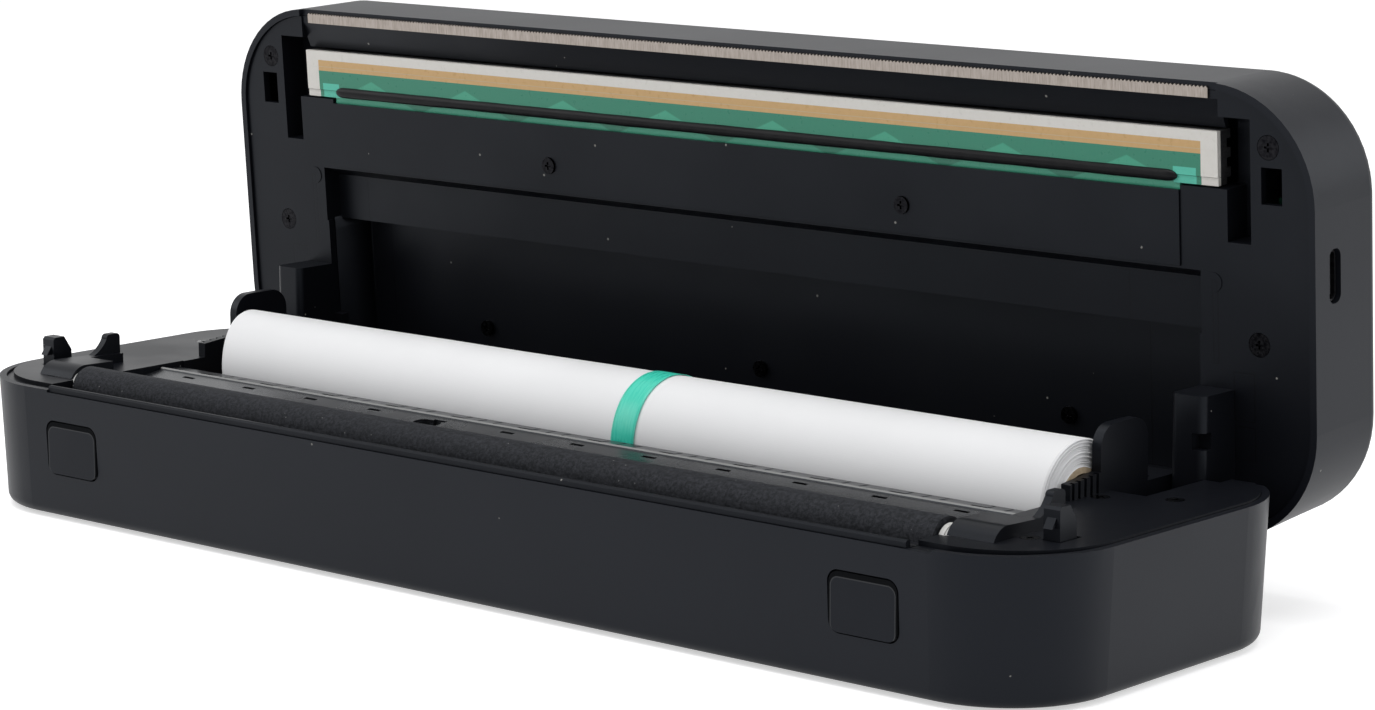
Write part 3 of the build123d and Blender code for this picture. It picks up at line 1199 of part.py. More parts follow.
with BuildPart() as lid_shell:
    loft(sections=[lid_outline(0, 0), lid_outline(LID_THICK, 0)])
    fillet(lid_shell.faces().sort_by(Axis.Y)[-1].edges(), LID_BACK_FILLET)
    loft(
        sections=[lid_outline(FRAME_BACK, LID_WALL), lid_outline(LID_INSIDE, LID_WALL)],
        mode=Mode.SUBTRACT,
    )
    with BuildSketch(lid_face(FRAME_BACK)):
        rim_inset = LID_RIM + LID_DRAFT * FRAME_BACK / LID_THICK
        with Locations((0, LID_DEPTH / 2)):
            RectangleRounded(
                BASE_LENGTH - 2 * rim_inset, LID_DEPTH - 2 * rim_inset, LID_CORNER_R - rim_inset
            )
    extrude(amount=2 * FRAME_BACK, mode=Mode.SUBTRACT)
    for places, radius, front_w in (
        (LID_SCREW_PLACES, LID_BOSS_R, FRAME_BACK),
        (TROUGH_SCREW_PLACES, LID_BOSS_R, TROUGH_BACK),
        (HEAD_SPRING_PLACES, HEAD_SPRING_POST_R, HEAD_POST_W),
        (BOARD_POSTS, BOARD_POST_R, BOARD_BACK),
    ):
        with BuildSketch(lid_face(LID_INSIDE + LID_WALL / 2)):
            with Locations(places):
                Circle(radius)
        extrude(amount=LID_INSIDE + LID_WALL / 2 - front_w)
    for places, front_w in ((LID_SCREW_PLACES, FRAME_BACK), (TROUGH_SCREW_PLACES, TROUGH_BACK)):
        with BuildSketch(lid_face(front_w + LID_SCREW_LENGTH + SEAT_GAP)):
            with Locations(places):
                Circle(SCREW_R + PIN_GAP)
        extrude(amount=LID_SCREW_LENGTH + SEAT_GAP, mode=Mode.SUBTRACT)
    with BuildSketch(lid_face(BLADE_SEAT)):
        box_between((-BAY_HALF, BAY_HALF), (BEZEL_TOP_V, LID_DEPTH + 1))
    extrude(amount=2 * BLADE_SEAT, mode=Mode.SUBTRACT)
    with BuildSketch(lid_section(BASE_LENGTH / 2 + 1)):
        with Locations((USB_V, (USB_FACE + MAIN_BOARD_DEEP) / 2)):
            usb_mouth = (USB_SIZE[0] + 2 * USB_GAP, USB_SIZE[1] + 2 * USB_GAP)
            RectangleRounded(*usb_mouth, usb_mouth[1] / 2 - USB_SHEET)
    extrude(amount=2 * LID_WALL + 1, mode=Mode.SUBTRACT)
    with BuildSketch(lid_face(LID_THICK + 1)):
        with Locations((POWER_X, POWER_V)):
            Circle(POWER_R + MOVE_GAP)
        with Locations((LENS_X, POWER_V)):
            Circle(LENS_R + SEAT_GAP)
    extrude(amount=LID_WALL + 2, mode=Mode.SUBTRACT)
finish(lid_shell, "lid_shell")

with BuildPart() as power_button:
    with BuildSketch(lid_face(LID_THICK + POWER_PROUD)):
        with Locations((POWER_X, POWER_V)):
            Circle(POWER_R)
    extrude(amount=LID_WALL + POWER_PROUD + POWER_FLANGE)
    with BuildSketch(lid_face(LID_INSIDE - SEAT_GAP)):
        with Locations((POWER_X, POWER_V)):
            Circle(POWER_R + POWER_FLANGE)
    extrude(amount=POWER_FLANGE)
    with BuildSketch(lid_face(LID_INSIDE)):
        with Locations((POWER_X, POWER_V)):
            Circle(BOARD_POST_R)
    extrude(amount=LID_INSIDE - BOARD_BACK - POWER_TRAVEL - MOVE_GAP)
finish(power_button, "power_button")

with BuildPart() as indicator_lens:
    with BuildSketch(lid_face(LID_THICK)):
        with Locations((LENS_X, POWER_V)):
            Circle(LENS_R)
    extrude(amount=LID_WALL)
    with BuildSketch(lid_face(LID_INSIDE)):
        with Locations((LENS_X, POWER_V)):
            Circle(LENS_R + POWER_FLANGE)
    extrude(amount=POWER_FLANGE)
finish(indicator_lens, "indicator_lens")


# ---- Lid's inner frame -----------------------------------------------------------------
CATCH_HOLE_X = (PEG_INNER_X - CATCH_HOLE_WIDTH_GAP, PEG_OUTER_X + CATCH_HOLE_WIDTH_GAP)
CATCH_HOLE_V = (
    lid_v(PEG_REAR_Y + BUTTON_TRAVEL) - MOVE_GAP / 2,
    lid_v(PEG_FRONT_Y - CATCH_HOLE_LENGTH_GAP),
)

with BuildPart() as lid_frame:
    with BuildSketch(lid_face(FRAME_BACK)):
        frame_inset = LID_RIM + SEAT_GAP + LID_DRAFT * FRAME_BACK / LID_THICK
        with Locations((0, LID_DEPTH / 2)):
            RectangleRounded(
                BASE_LENGTH - 2 * frame_inset, LID_DEPTH - 2 * frame_inset, LID_CORNER_R - frame_inset
            )
    extrude(amount=FRAME_THICK)
    with BuildSketch(lid_section(0)):
        with BuildLine():
            Polyline(
                (TROUGH_LOW_V - TROUGH_WALL, FACE_INSET),
                (TROUGH_LOW_V - TROUGH_WALL, TROUGH_BACK),
                (TROUGH_TOP_V + TROUGH_WALL, TROUGH_BACK),
                (TROUGH_TOP_V + TROUGH_WALL, SHELF_DEEP + TROUGH_WALL),
                (LEDGE_V + TROUGH_WALL, SHELF_DEEP + TROUGH_WALL),
                (LEDGE_V + TROUGH_WALL, FACE_INSET),
                close=True,
            )
        make_face()
    extrude(amount=TROUGH_HALF, both=True)
    with BuildSketch(lid_face(SHELF_DEEP + TROUGH_WALL)):
        for side in BOTH_SIDES:
            shelf_x = sorted((side * TROUGH_HALF, side * (SHELF_HALF + TROUGH_WALL)))
            box_between(shelf_x, (TROUGH_TOP_V, LEDGE_V + TROUGH_WALL))
    extrude(amount=SHELF_DEEP + TROUGH_WALL - FACE_INSET)
    with BuildSketch(lid_face(WELL_DEEP + WELL_WALL)):
        for side in BOTH_SIDES:
            well_x = sorted((side * WELL_INNER_X, side * (WELL_OUTER_X + WELL_WALL)))
            box_between(well_x, (BAY_SHOULDER_V - WELL_WALL, WELL_TOP_V + WELL_WALL))
            slot_x = sorted((side * (WELL_SLOT_INNER_X - WELL_WALL), side * (WELL_OUTER_X + WELL_WALL)))
            box_between(slot_x, (WELL_LOW_V - WELL_WALL, BAY_SHOULDER_V))
    extrude(amount=WELL_DEEP + WELL_WALL - FACE_INSET)
    # The trough, which clears the paper roll, and the shelf above it.
    with BuildSketch(lid_face(TROUGH_DEEP)):
        box_between((-TROUGH_HALF, TROUGH_HALF), (TROUGH_LOW_V, TROUGH_TOP_V))
    extrude(amount=2 * TROUGH_DEEP, mode=Mode.SUBTRACT)
    with BuildSketch(lid_section(0)):
        with BuildLine():
            Polyline(
                (TROUGH_LOW_V, -1),
                (TROUGH_LOW_V, SHELF_DEEP),
                (SHELF_TOP_V, SHELF_DEEP),
                (LEDGE_V, FACE_INSET),
                (LEDGE_V, -1),
                close=True,
            )
        make_face()
    extrude(amount=TROUGH_HALF, both=True, mode=Mode.SUBTRACT)
    with BuildSketch(lid_section(0)):
        with BuildLine():
            Polyline(
                (TROUGH_TOP_V, -1),
                (TROUGH_TOP_V, SHELF_DEEP),
                (SHELF_TOP_V, SHELF_DEEP),
                (LEDGE_V, FACE_INSET),
                (LEDGE_V, -1),
                close=True,
            )
        make_face()
    extrude(amount=SHELF_HALF, both=True, mode=Mode.SUBTRACT)
    # Slots at the ends, which clear the roll holders and let the hinge arms out.
    with BuildSketch(lid_face(LID_INSIDE)):
        for side in BOTH_SIDES:
            holder_x = sorted((side * (TROUGH_HALF - SEAT_GAP), side * (BIN_HALF + HOLDER_THICK + MOVE_GAP)))
            box_between(holder_x, (lid_v(HOLDER_REAR_Y) - MOVE_GAP, TROUGH_TOP_V))
            arm_x = sorted((side * (ARM_SLOT_X[0] + MOVE_GAP - SEAT_GAP), side * (ARM_OUTER_X + SEAT_GAP)))
            arm_reach = ARM_HALF_WIDTH + SEAT_GAP
            box_between(arm_x, (AXIS_V - arm_reach, AXIS_V + arm_reach))
    extrude(amount=LID_THICK, mode=Mode.SUBTRACT)
    # The bay for the print head, and the wells for the bearing caps and their fins.
    with BuildSketch(lid_face(LID_INSIDE)):
        box_between((-BAY_HALF, BAY_HALF), (BAY_SHOULDER_V, BEZEL_TOP_V))
        box_between((-BAY_SHOULDER_HALF, BAY_SHOULDER_HALF), (BAY_LOW_V, BAY_SHOULDER_V))
    extrude(amount=LID_THICK, mode=Mode.SUBTRACT)
    with BuildSketch(lid_face(WELL_DEEP)):
        for side in BOTH_SIDES:
            well_x = sorted((side * (WELL_INNER_X + WELL_WALL), side * WELL_OUTER_X))
            box_between(well_x, (BAY_SHOULDER_V, WELL_TOP_V))
            slot_x = sorted((side * WELL_SLOT_INNER_X, side * WELL_OUTER_X))
            box_between(slot_x, (WELL_LOW_V, BAY_SHOULDER_V))
    extrude(amount=2 * WELL_DEEP, mode=Mode.SUBTRACT)
    # Sloped bezel over the head, with the seat for the tear blade.
    with BuildSketch(lid_section(0)):
        with BuildLine():
            Polyline(
                (BEZEL_LOW_V, BEZEL_DEEP),
                (BEZEL_TOP_V, BLADE_SEAT),
                (BEZEL_TOP_V + 1, BLADE_SEAT),
                (BEZEL_TOP_V + 1, FRAME_BACK),
                (BEZEL_TOP_V, FRAME_BACK),
                (BEZEL_LOW_V, BEZEL_DEEP + BEZEL_THICK),
                close=True,
            )
        make_face()
    extrude(amount=BAY_HALF + SEAT_GAP, both=True)
    with BuildSketch(lid_face(BLADE_SEAT)):
        box_between((-BAY_HALF, BAY_HALF), (BEZEL_TOP_V, LID_DEPTH))
    extrude(amount=2 * BLADE_SEAT, mode=Mode.SUBTRACT)
    # Seat for the cover plate.
    with BuildSketch(lid_face(COVER_PLATE_FACE + COVER_PLATE_THICK)):
        cover_seat_x = COVER_PLATE_HALF + SEAT_GAP
        box_between((-cover_seat_x, cover_seat_x), (COVER_PLATE_LOW_V - SEAT_GAP, BAY_LOW_V + 1))
    extrude(amount=COVER_PLATE_THICK + 1, mode=Mode.SUBTRACT)
    with BuildSketch(lid_face(FRAME_BACK)):
        for side in BOTH_SIDES:
            box_between(sorted((side * CATCH_HOLE_X[0], side * CATCH_HOLE_X[1])), CATCH_HOLE_V)
        with Locations(LID_SCREW_PLACES + both_ways(COVER_SCREW_X, COVER_SCREW_V)):
            Circle(SCREW_R + PIN_GAP)
    extrude(amount=2 * FRAME_BACK, mode=Mode.SUBTRACT)
    with BuildSketch(lid_face(FACE_INSET + SCREW_HEAD)):
        with Locations(LID_SCREW_PLACES):
            Circle(LID_SCREW_HEAD_R + SEAT_GAP)
    extrude(amount=2 * SCREW_HEAD, mode=Mode.SUBTRACT)
    with BuildSketch(lid_face(TROUGH_BACK)):
        with Locations(TROUGH_SCREW_PLACES):
            Circle(SCREW_R + PIN_GAP)
    extrude(amount=TROUGH_WALL, mode=Mode.SUBTRACT)
    with BuildSketch(lid_face(FACE_INSET)):
        with Locations(both_ways(BUMP_X, BUMP_V)):
            Circle(BUMP_R)
    extrude(amount=BUMP_PROUD)
finish(lid_frame, "lid_frame")


def screws(places, seat_w, head_r, length):
    """Cross-head screws driven straight into the lid, heads on a seat."""
    with BuildPart() as fastener:
        with BuildSketch(lid_face(seat_w)):
            with Locations(places):
                Circle(head_r)
        extrude(amount=SCREW_HEAD)
        with BuildSketch(lid_face(seat_w + length)):
            with Locations(places):
                Circle(SCREW_R)
        extrude(amount=length)
        with BuildSketch(lid_face(seat_w - SCREW_HEAD + CROSS_DEPTH)):
            with Locations(places):
                Rectangle(2 * SCREW_R, CROSS_WIDTH)
                Rectangle(CROSS_WIDTH, 2 * SCREW_R)
        extrude(amount=CROSS_DEPTH, mode=Mode.SUBTRACT)
    return fastener


FRAME_GRIP = FRAME_THICK - SCREW_HEAD
finish(
    screws(LID_SCREW_PLACES, FACE_INSET + SCREW_HEAD, LID_SCREW_HEAD_R, FRAME_GRIP + LID_SCREW_LENGTH),
    "lid_screws",
)
finish(
    screws(TROUGH_SCREW_PLACES, TROUGH_DEEP, SCREW_HEAD_R, TROUGH_WALL + LID_SCREW_LENGTH),
    "trough_screws",
)
finish(
    screws(
        both_ways(COVER_SCREW_X, COVER_SCREW_V),
        COVER_PLATE_FACE + COVER_SCREW_SINK,
        SCREW_HEAD_R,
        FRAME_BACK - COVER_PLATE_FACE - COVER_SCREW_SINK,
    ),
    "cover_screws",
)


# ---- Print head ------------------------------------------------------------------------
def head_corner_waste():
    """What the frame's shoulders take off the head's lower corners."""
    with BuildPart() as waste:
        with BuildSketch(lid_face(HEATSINK_BACK)):
            for side in BOTH_SIDES:
                corner_x = sorted((side * HEAD_CORNER_X, side * (HEAD_HALF + 1)))
                box_between(corner_x, (HEAD_LOW_V - 1, BAY_SHOULDER_V + MOVE_GAP))
        extrude(amount=HEATSINK_BACK)
    return waste.part


with BuildPart() as head_ceramic:
    with BuildSketch(lid_face(HEAD_BACK)):
        box_between((-HEAD_HALF, HEAD_HALF), (BOARD_TOP_V + SEAT_GAP, HEAD_TOP_V))
    extrude(amount=HEAD_BACK - HEAD_FACE)
finish(head_ceramic, "head_ceramic")

with BuildPart() as head_board:
    with BuildSketch(lid_face(HEAD_BACK)):
        box_between((-HEAD_HALF, HEAD_HALF), (HEAD_LOW_V, BOARD_TOP_V))
    extrude(amount=HEAD_BACK - BOARD_FACE)
    add(head_corner_waste(), mode=Mode.SUBTRACT)
finish(head_board, "head_board")

with BuildPart() as head_resin:
    with BuildSketch(lid_section(0)):
        with Locations((RESIN_V + RESIN_R + SEAT_GAP, HEAD_FACE)):
            Circle(RESIN_R)
        box_between((0, LID_DEPTH), (HEAD_FACE, LID_THICK), Mode.SUBTRACT)
    extrude(amount=RESIN_HALF, both=True)
finish(head_resin, "head_resin")

with BuildPart() as head_heatsink:
    with BuildSketch(lid_face(HEATSINK_BACK)):
        box_between((-HEAD_HALF, HEAD_HALF), (HEAD_LOW_V, HEAD_TOP_V))
    extrude(amount=HEATSINK_BACK - HEAD_BACK)
    with BuildSketch(lid_face(HEATSINK_BACK)):
        with Locations((0, (HEAD_LOW_V + HEAD_TOP_V) / 2)):
            with GridLocations(1, HEATSINK_FIN_PITCH, 1, HEATSINK_FINS):
                Rectangle(2 * HEAD_HALF, HEATSINK_FIN_PITCH / 2)
    extrude(amount=HEATSINK_GROOVE, mode=Mode.SUBTRACT)
    with BuildSketch(lid_face(HEATSINK_BACK)):
        with Locations(HEAD_SPRING_PLACES):
            Circle(HEAD_SPRING_R + 2 * SPRING_WIRE)
    extrude(amount=HEATSINK_BACK - HEAD_BACK)
    add(head_corner_waste(), mode=Mode.SUBTRACT)
finish(head_heatsink, "head_heatsink")

with BuildPart() as head_springs:
    for spring_x, spring_v in HEAD_SPRING_PLACES:
        seat = lid_face(HEATSINK_BACK + SPRING_WIRE).from_local_coords((spring_x, spring_v, 0))
        inward = lid_face(0).z_dir * -1
        travel = HEAD_SPRING_LENGTH - 2 * SPRING_WIRE
        add(coil(seat, inward, HEAD_SPRING_R, SPRING_WIRE, SPRING_PITCH, travel))
finish(head_springs, "head_springs")

with BuildPart() as head_cover:
    with BuildSketch(lid_face(COVER_PLATE_FACE + COVER_PLATE_THICK)):
        box_between((-COVER_PLATE_HALF, COVER_PLATE_HALF), (COVER_PLATE_LOW_V, COVER_PLATE_TOP_V))
        with Locations(both_ways(COVER_SCREW_X, COVER_SCREW_V)):
            Circle(SCREW_R + PIN_GAP, mode=Mode.SUBTRACT)
    extrude(amount=COVER_PLATE_THICK)
    with BuildSketch(lid_face(COVER_PLATE_FACE + COVER_SCREW_SINK)):
        with Locations(both_ways(COVER_SCREW_X, COVER_SCREW_V)):
            Circle(SCREW_HEAD_R + SEAT_GAP)
    extrude(amount=COVER_SCREW_SINK, mode=Mode.SUBTRACT)
finish(head_cover, "head_cover")

with BuildPart() as tear_blade:
    with BuildSketch(lid_face(BLADE_SEAT)):
        tooth_count = round(2 * BLADE_HALF / BLADE_PITCH)
        pitch = 2 * BLADE_HALF / tooth_count
        edge = [(BLADE_HALF, BLADE_LOW_V)]
        for tooth in range(tooth_count):
            edge.append((BLADE_HALF - tooth * pitch, BLADE_TOP_V - BLADE_TOOTH))
            edge.append((BLADE_HALF - (tooth + 0.5) * pitch, BLADE_TOP_V))
        edge.append((-BLADE_HALF, BLADE_TOP_V - BLADE_TOOTH))
        edge.append((-BLADE_HALF, BLADE_LOW_V))
        with BuildLine():
            Polyline(*edge, close=True)
        make_face()
    extrude(amount=BLADE_THICK)
finish(tear_blade, "tear_blade")


# ---- Electronics in the lid ------------------------------------------------------------
with BuildPart() as mainboard:
    with BuildSketch(lid_face(BOARD_BACK)):
        box_between(MAIN_BOARD_X, MAIN_BOARD_V)
    extrude(amount=MAIN_BOARD_THICK)
    with BuildSketch(lid_face(BOARD_BACK)):
        with Locations(CHIP_PLACES):
            Rectangle(*CHIP_SIZE[:2])
    extrude(amount=-CHIP_SIZE[2])
finish(mainboard, "mainboard")

with BuildPart() as usb_connector:
    usb_mouth_x = BASE_LENGTH / 2 - USB_SETBACK - LID_DRAFT * MAIN_BOARD_DEEP / LID_THICK
    usb_centre = (USB_V, (USB_FACE + MAIN_BOARD_DEEP) / 2)
    usb_round = USB_SIZE[1] / 2 - USB_SHEET
    with BuildSketch(lid_section(usb_mouth_x)):
        with Locations(usb_centre):
            RectangleRounded(USB_SIZE[0], USB_SIZE[1], usb_round)
    extrude(amount=USB_SIZE[2])
    with BuildSketch(lid_section(usb_mouth_x)):
        with Locations(usb_centre):
            RectangleRounded(USB_SIZE[0] - 2 * USB_SHEET, USB_SIZE[1] - 2 * USB_SHEET, usb_round - USB_SHEET)
    extrude(amount=USB_SIZE[2] - 2 * USB_SHEET, mode=Mode.SUBTRACT)
    with BuildSketch(lid_section(usb_mouth_x - USB_SHEET)):
        with Locations(usb_centre):
            Rectangle(*USB_TONGUE)
    extrude(amount=USB_SIZE[2] - USB_SHEET)
finish(usb_connector, "usb_connector")
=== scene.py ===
# %% [markdown]
# # A portable A4 thermal printer, opened to show its works
#
# The printer is a slim rounded base with a lid that stands open behind it. A loose roll of
# thermal paper lies in the bin, a rubber platen runs along the front edge, and the print
# head looks out of the lid. The solid model already has every part at its real size, so
# this lesson is about surfaces: how each part is finished, and which parts deserve a finer
# mesh than an engineer would draw.
#
# First the solid model is loaded. Its parts already move in groups, such as the lid and
# the platen, and each new piece of this lesson will ride on one of those groups.

# %% Load the printer
import json

import bpy
import numpy as np
from mathutils import Matrix, Vector


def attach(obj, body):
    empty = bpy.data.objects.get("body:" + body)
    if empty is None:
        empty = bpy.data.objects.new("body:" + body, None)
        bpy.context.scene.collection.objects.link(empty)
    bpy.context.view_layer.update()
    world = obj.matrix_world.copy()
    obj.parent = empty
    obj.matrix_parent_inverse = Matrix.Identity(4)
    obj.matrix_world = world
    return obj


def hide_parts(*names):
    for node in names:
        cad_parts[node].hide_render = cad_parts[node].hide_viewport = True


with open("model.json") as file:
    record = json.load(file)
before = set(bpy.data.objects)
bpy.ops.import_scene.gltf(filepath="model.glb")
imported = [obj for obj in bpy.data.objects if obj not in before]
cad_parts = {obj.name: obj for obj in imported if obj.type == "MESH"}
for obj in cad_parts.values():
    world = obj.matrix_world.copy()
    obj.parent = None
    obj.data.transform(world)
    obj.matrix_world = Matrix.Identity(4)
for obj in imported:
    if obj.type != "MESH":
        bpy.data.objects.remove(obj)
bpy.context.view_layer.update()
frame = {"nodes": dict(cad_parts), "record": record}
nodes = frame["nodes"]
MM = 0.001

# %% [markdown]
# ## Camera
# Small products are usually pictured from a metre or so away with a long lens, so that
# their edges stay nearly parallel. A lens of about 104 mm, to the right of the printer and
# a little above it, shows the front, the right end and the inside of the open lid at once.
# The camera is turned by three plain angles: its heading, its tilt and a small roll.

# %% Camera
CAMERA_PLACE = (490.87, -541.05, 167.28)
CAMERA_TURN, CAMERA_TILT, CAMERA_ROLL = 41.254, 10.038, -0.214
CAMERA_LENS = 103.62


def aim_camera(place, turn, tilt, roll, lens):
    """A camera from its heading, its tilt below the horizon and its roll, in degrees.

    The heading and tilt give the line of sight; the side vector lies level and the top
    vector is square to both; the roll then turns side and top about the line of sight.
    """
    data = bpy.data.cameras.new("camera")
    data.lens, data.sensor_width, data.clip_end = lens, 36.0, 50.0
    camera = bpy.data.objects.new("camera", data)
    bpy.context.scene.collection.objects.link(camera)
    (c, ct, cr), (s, st, sr) = (f(np.deg2rad([turn, tilt, roll])) for f in (np.cos, np.sin))
    ahead = np.array([-s * ct, c * ct, -st])
    side = np.array([c, s, 0.0])
    top = np.cross(side, ahead)
    side, top = side * cr + top * sr, top * cr - side * sr
    camera.rotation_mode = "QUATERNION"
    camera.rotation_quaternion = Matrix(np.array([side, top, -ahead]).T.tolist()).to_quaternion()
    camera.location = [v * MM for v in place]
    bpy.context.scene.camera = camera
    return camera


camera = aim_camera(CAMERA_PLACE, CAMERA_TURN, CAMERA_TILT, CAMERA_ROLL, CAMERA_LENS)
print("camera at", [round(v, 3) for v in camera.location])

# %% [markdown]
# ## Helpers for shader nodes
# A material in Blender is a small network of nodes. Each node is made, its settings are
# given, and each of its inputs gets either a number or a wire from another node. One helper
# does all three, so that the materials below read like a recipe.

# %% Node helpers
def node(tree, kind, inputs=(), **settings):
    """A shader node with its settings and its inputs: a socket is wired, a value is set."""
    made = tree.nodes.new("ShaderNode" + kind)
    for name, value in settings.items():
        setattr(made, name, value)
    for key, value in dict(inputs).items():
        if isinstance(value, bpy.types.NodeSocket):
            tree.links.new(value, made.inputs[key])
        else:
            made.inputs[key].default_value = value
    return made


def sums(tree, operation, *values):
    """The result of one sum on numbers or wires."""
    return node(tree, "Math", dict(enumerate(values)), operation=operation).outputs[0]


def blend(tree, mask, under, over):
    """The colour under, covered by the colour over where the mask is 1."""
    mixed = node(tree, "Mix", {0: mask, 6: under, 7: over}, data_type="RGBA")
    return mixed.outputs[2]


def spread(tree, value, low, high, to_low=0.0, to_high=1.0):
    """The value stretched from low..high to to_low..to_high and held at its ends."""
    names = {"Value": value, "From Min": low, "From Max": high, "To Min": to_low, "To Max": to_high}
    return node(tree, "MapRange", names).outputs[0]


def millimetres(tree):
    """The place on the resting printer along X, Y and Z, in millimetres."""
    place = node(tree, "TexCoord").outputs["Object"]
    scaled = node(tree, "VectorMath", {0: place, 3: 1000.0}, operation="SCALE").outputs[0]
    return scaled, *node(tree, "SeparateXYZ", {0: scaled}).outputs


def strip(tree, value, low, high):
    """1 where the value lies between low and high, and 0 elsewhere."""
    return sums(tree, "COMPARE", value, (low + high) / 2, (high - low) / 2)


def colour(*parts):
    """Red, green and blue with full opacity, as a colour socket wants them."""
    return (*parts, 1.0)


print("node helpers ready")

# %% [markdown]
# ## Shared surface effects
# Three effects return on many parts of the printer. A mould tool is spark-eroded, which
# leaves a fine grain of about a fifth of a millimetre on the plastic. Handling leaves broad
# patches that are a little duller or shinier. Lint and dust sit on black plastic as tiny
# pale specks. Each effect is one node group, built once, with its own dials, and every
# material places it with its own values. A group only gives heights and masks, because
# the shader that uses them stays in the material.

# %% Grain, smudges and dust as node groups
def new_group(name, inputs, outputs):
    """An empty node group with named number inputs and outputs."""
    tree = bpy.data.node_groups.new(name, "ShaderNodeTree")
    for label, value in inputs.items():
        socket = tree.interface.new_socket(label, in_out="INPUT", socket_type="NodeSocketFloat")
        socket.default_value = value
    for label in outputs:
        tree.interface.new_socket(label, in_out="OUTPUT", socket_type="NodeSocketFloat")
    return tree, tree.nodes.new("NodeGroupInput").outputs, tree.nodes.new("NodeGroupOutput").inputs


def build_moulded_grain():
    """Height: a fine noise plus a coarser one at a quarter of its scale."""
    tree, ins, outs = new_group("moulded_grain", {"Grains per mm": 4.0, "Coarse share": 0.35}, ["Height"])
    place = millimetres(tree)[0]
    fine = node(tree, "TexNoise", {"Vector": place, "Scale": ins[0], "Detail": 2.0, "Roughness": 0.6})
    slow = sums(tree, "MULTIPLY", ins[0], 0.25)
    coarse = node(tree, "TexNoise", {"Vector": place, "Scale": slow, "Detail": 1.0})
    share = sums(tree, "MULTIPLY", coarse.outputs[0], ins[1])
    tree.links.new(sums(tree, "ADD", fine.outputs[0], share), outs[0])
    return tree


def build_handling():
    """Value: a slow noise over some centimetres, stretched to the full range 0 to 1."""
    tree, ins, outs = new_group("handling", {"Patch size in mm": 40.0}, ["Value"])
    place = millimetres(tree)[0]
    scale = sums(tree, "DIVIDE", 1.0, ins[0])
    patches = node(tree, "TexNoise", {"Vector": place, "Scale": scale, "Detail": 3.0})
    tree.links.new(spread(tree, patches.outputs[0], 0.35, 0.65), outs[0])
    return tree


def build_dust():
    """Mask: the cores of scattered cells, kept only where a slow noise is high."""
    tree, ins, outs = new_group("dust", {"Speck spacing in mm": 7.0, "Speck size": 0.03}, ["Mask"])
    place = millimetres(tree)[0]
    scale = sums(tree, "DIVIDE", 1.0, ins[0])
    cells = node(tree, "TexVoronoi", {"Vector": place, "Scale": scale})
    core = sums(tree, "LESS_THAN", cells.outputs["Distance"], ins[1])
    patches = node(tree, "TexNoise", {"Vector": place, "Scale": 0.045, "Detail": 2.0})
    dusty = sums(tree, "GREATER_THAN", patches.outputs[0], 0.5)
    tree.links.new(sums(tree, "MULTIPLY", core, dusty), outs[0])
    return tree


EFFECTS = {g.name: g for g in (build_moulded_grain(), build_handling(), build_dust())}


def effect(tree, name, **dials):
    """One of the shared effects in this material, with its dials set."""
    inputs = {key.replace("_", " "): value for key, value in dials.items()}
    return node(tree, "Group", inputs, node_tree=EFFECTS[name]).outputs[0]


print("shared effects:", ", ".join(EFFECTS))

# %% [markdown]
# ## How every finish starts and ends
# Each material below begins as one Principled shader with a few constants on its own
# sockets, and ends in a bump. These steps could be written out in every material. Two small
# helpers keep them the same everywhere, so that a recipe shows only what is special to it.

# %% Start and end of every finish
def start_finish(name, rough, metal=0.0, specular=0.5, coat=0.0, tint=(1, 1, 1)):
    """A new material; the numbers that are the same all over go on the shader itself."""
    material = bpy.data.materials.new(name)
    material.use_nodes = True
    tree = material.node_tree
    shader = tree.nodes["Principled BSDF"]
    shader.inputs["Roughness"].default_value = rough
    shader.inputs["Metallic"].default_value = metal
    shader.inputs["Specular IOR Level"].default_value = specular
    shader.inputs["Coat Weight"].default_value = coat
    shader.inputs["Specular Tint"].default_value = colour(*tint)
    return material, tree, shader


def relief(tree, shader, height, depth_mm, strength=1.0):
    """A height from 0 to 1 felt as so many millimetres of bump."""
    bump = node(tree, "Bump", {"Height": height, "Distance": depth_mm * MM, "Strength": strength})
    tree.links.new(bump.outputs[0], shader.inputs["Normal"])


print("finish helpers ready")

# %% [markdown]
# ## Black moulded plastics
# The case is matte black ABS with a spark-eroded grain, the inner mouldings are the same
# plastic with a smoother face, and the paper guide is almost polished, with a painted
# highlight along the ridge where paper slides over it. All three follow the same steps: a
# near-black colour with a touch of blue, handling patches in the roughness, grain in the
# bump and a few specks of dust.
# Black plastic in soft light shows more reflection than colour, so the specular level is
# kept low where the face is matte.

# %% Black plastics
DUST_GREY = colour(0.24, 0.235, 0.22)
COOL_SHEEN = (0.80, 0.88, 1.0)


def black_plastic(name, shade, rough, specular, grain, depth, dust=0.03, spacing=7.0):
    """Near-black plastic: patches, grain and dust over one shade."""
    material, tree, shader = start_finish(name, rough, specular=specular, tint=COOL_SHEEN)
    patches = effect(tree, "handling", Patch_size_in_mm=38.0)
    lighter = colour(*(1.22 * part for part in shade))
    worn = blend(tree, patches, colour(*shade), lighter)
    specks = effect(tree, "dust", Speck_spacing_in_mm=spacing, Speck_size=dust)
    tree.links.new(blend(tree, specks, worn, DUST_GREY), shader.inputs["Base Color"])
    matte = spread(tree, patches, 0.0, 1.0, rough + 0.012, rough - 0.012)
    tree.links.new(sums(tree, "MAXIMUM", matte, specks), shader.inputs["Roughness"])
    relief(tree, shader, effect(tree, "moulded_grain", Grains_per_mm=grain), depth)
    return material


CASE_SHADE = (0.0042, 0.0046, 0.0066)
case_plastic = black_plastic("case_plastic", CASE_SHADE, 0.42, 0.18, 4.0, 0.010)
foot_rubber = black_plastic("foot_rubber", (0.012, 0.012, 0.012), 0.8, 0.2, 2.5, 0.03, dust=0.05)
print("black plastics:", case_plastic.name, foot_rubber.name)

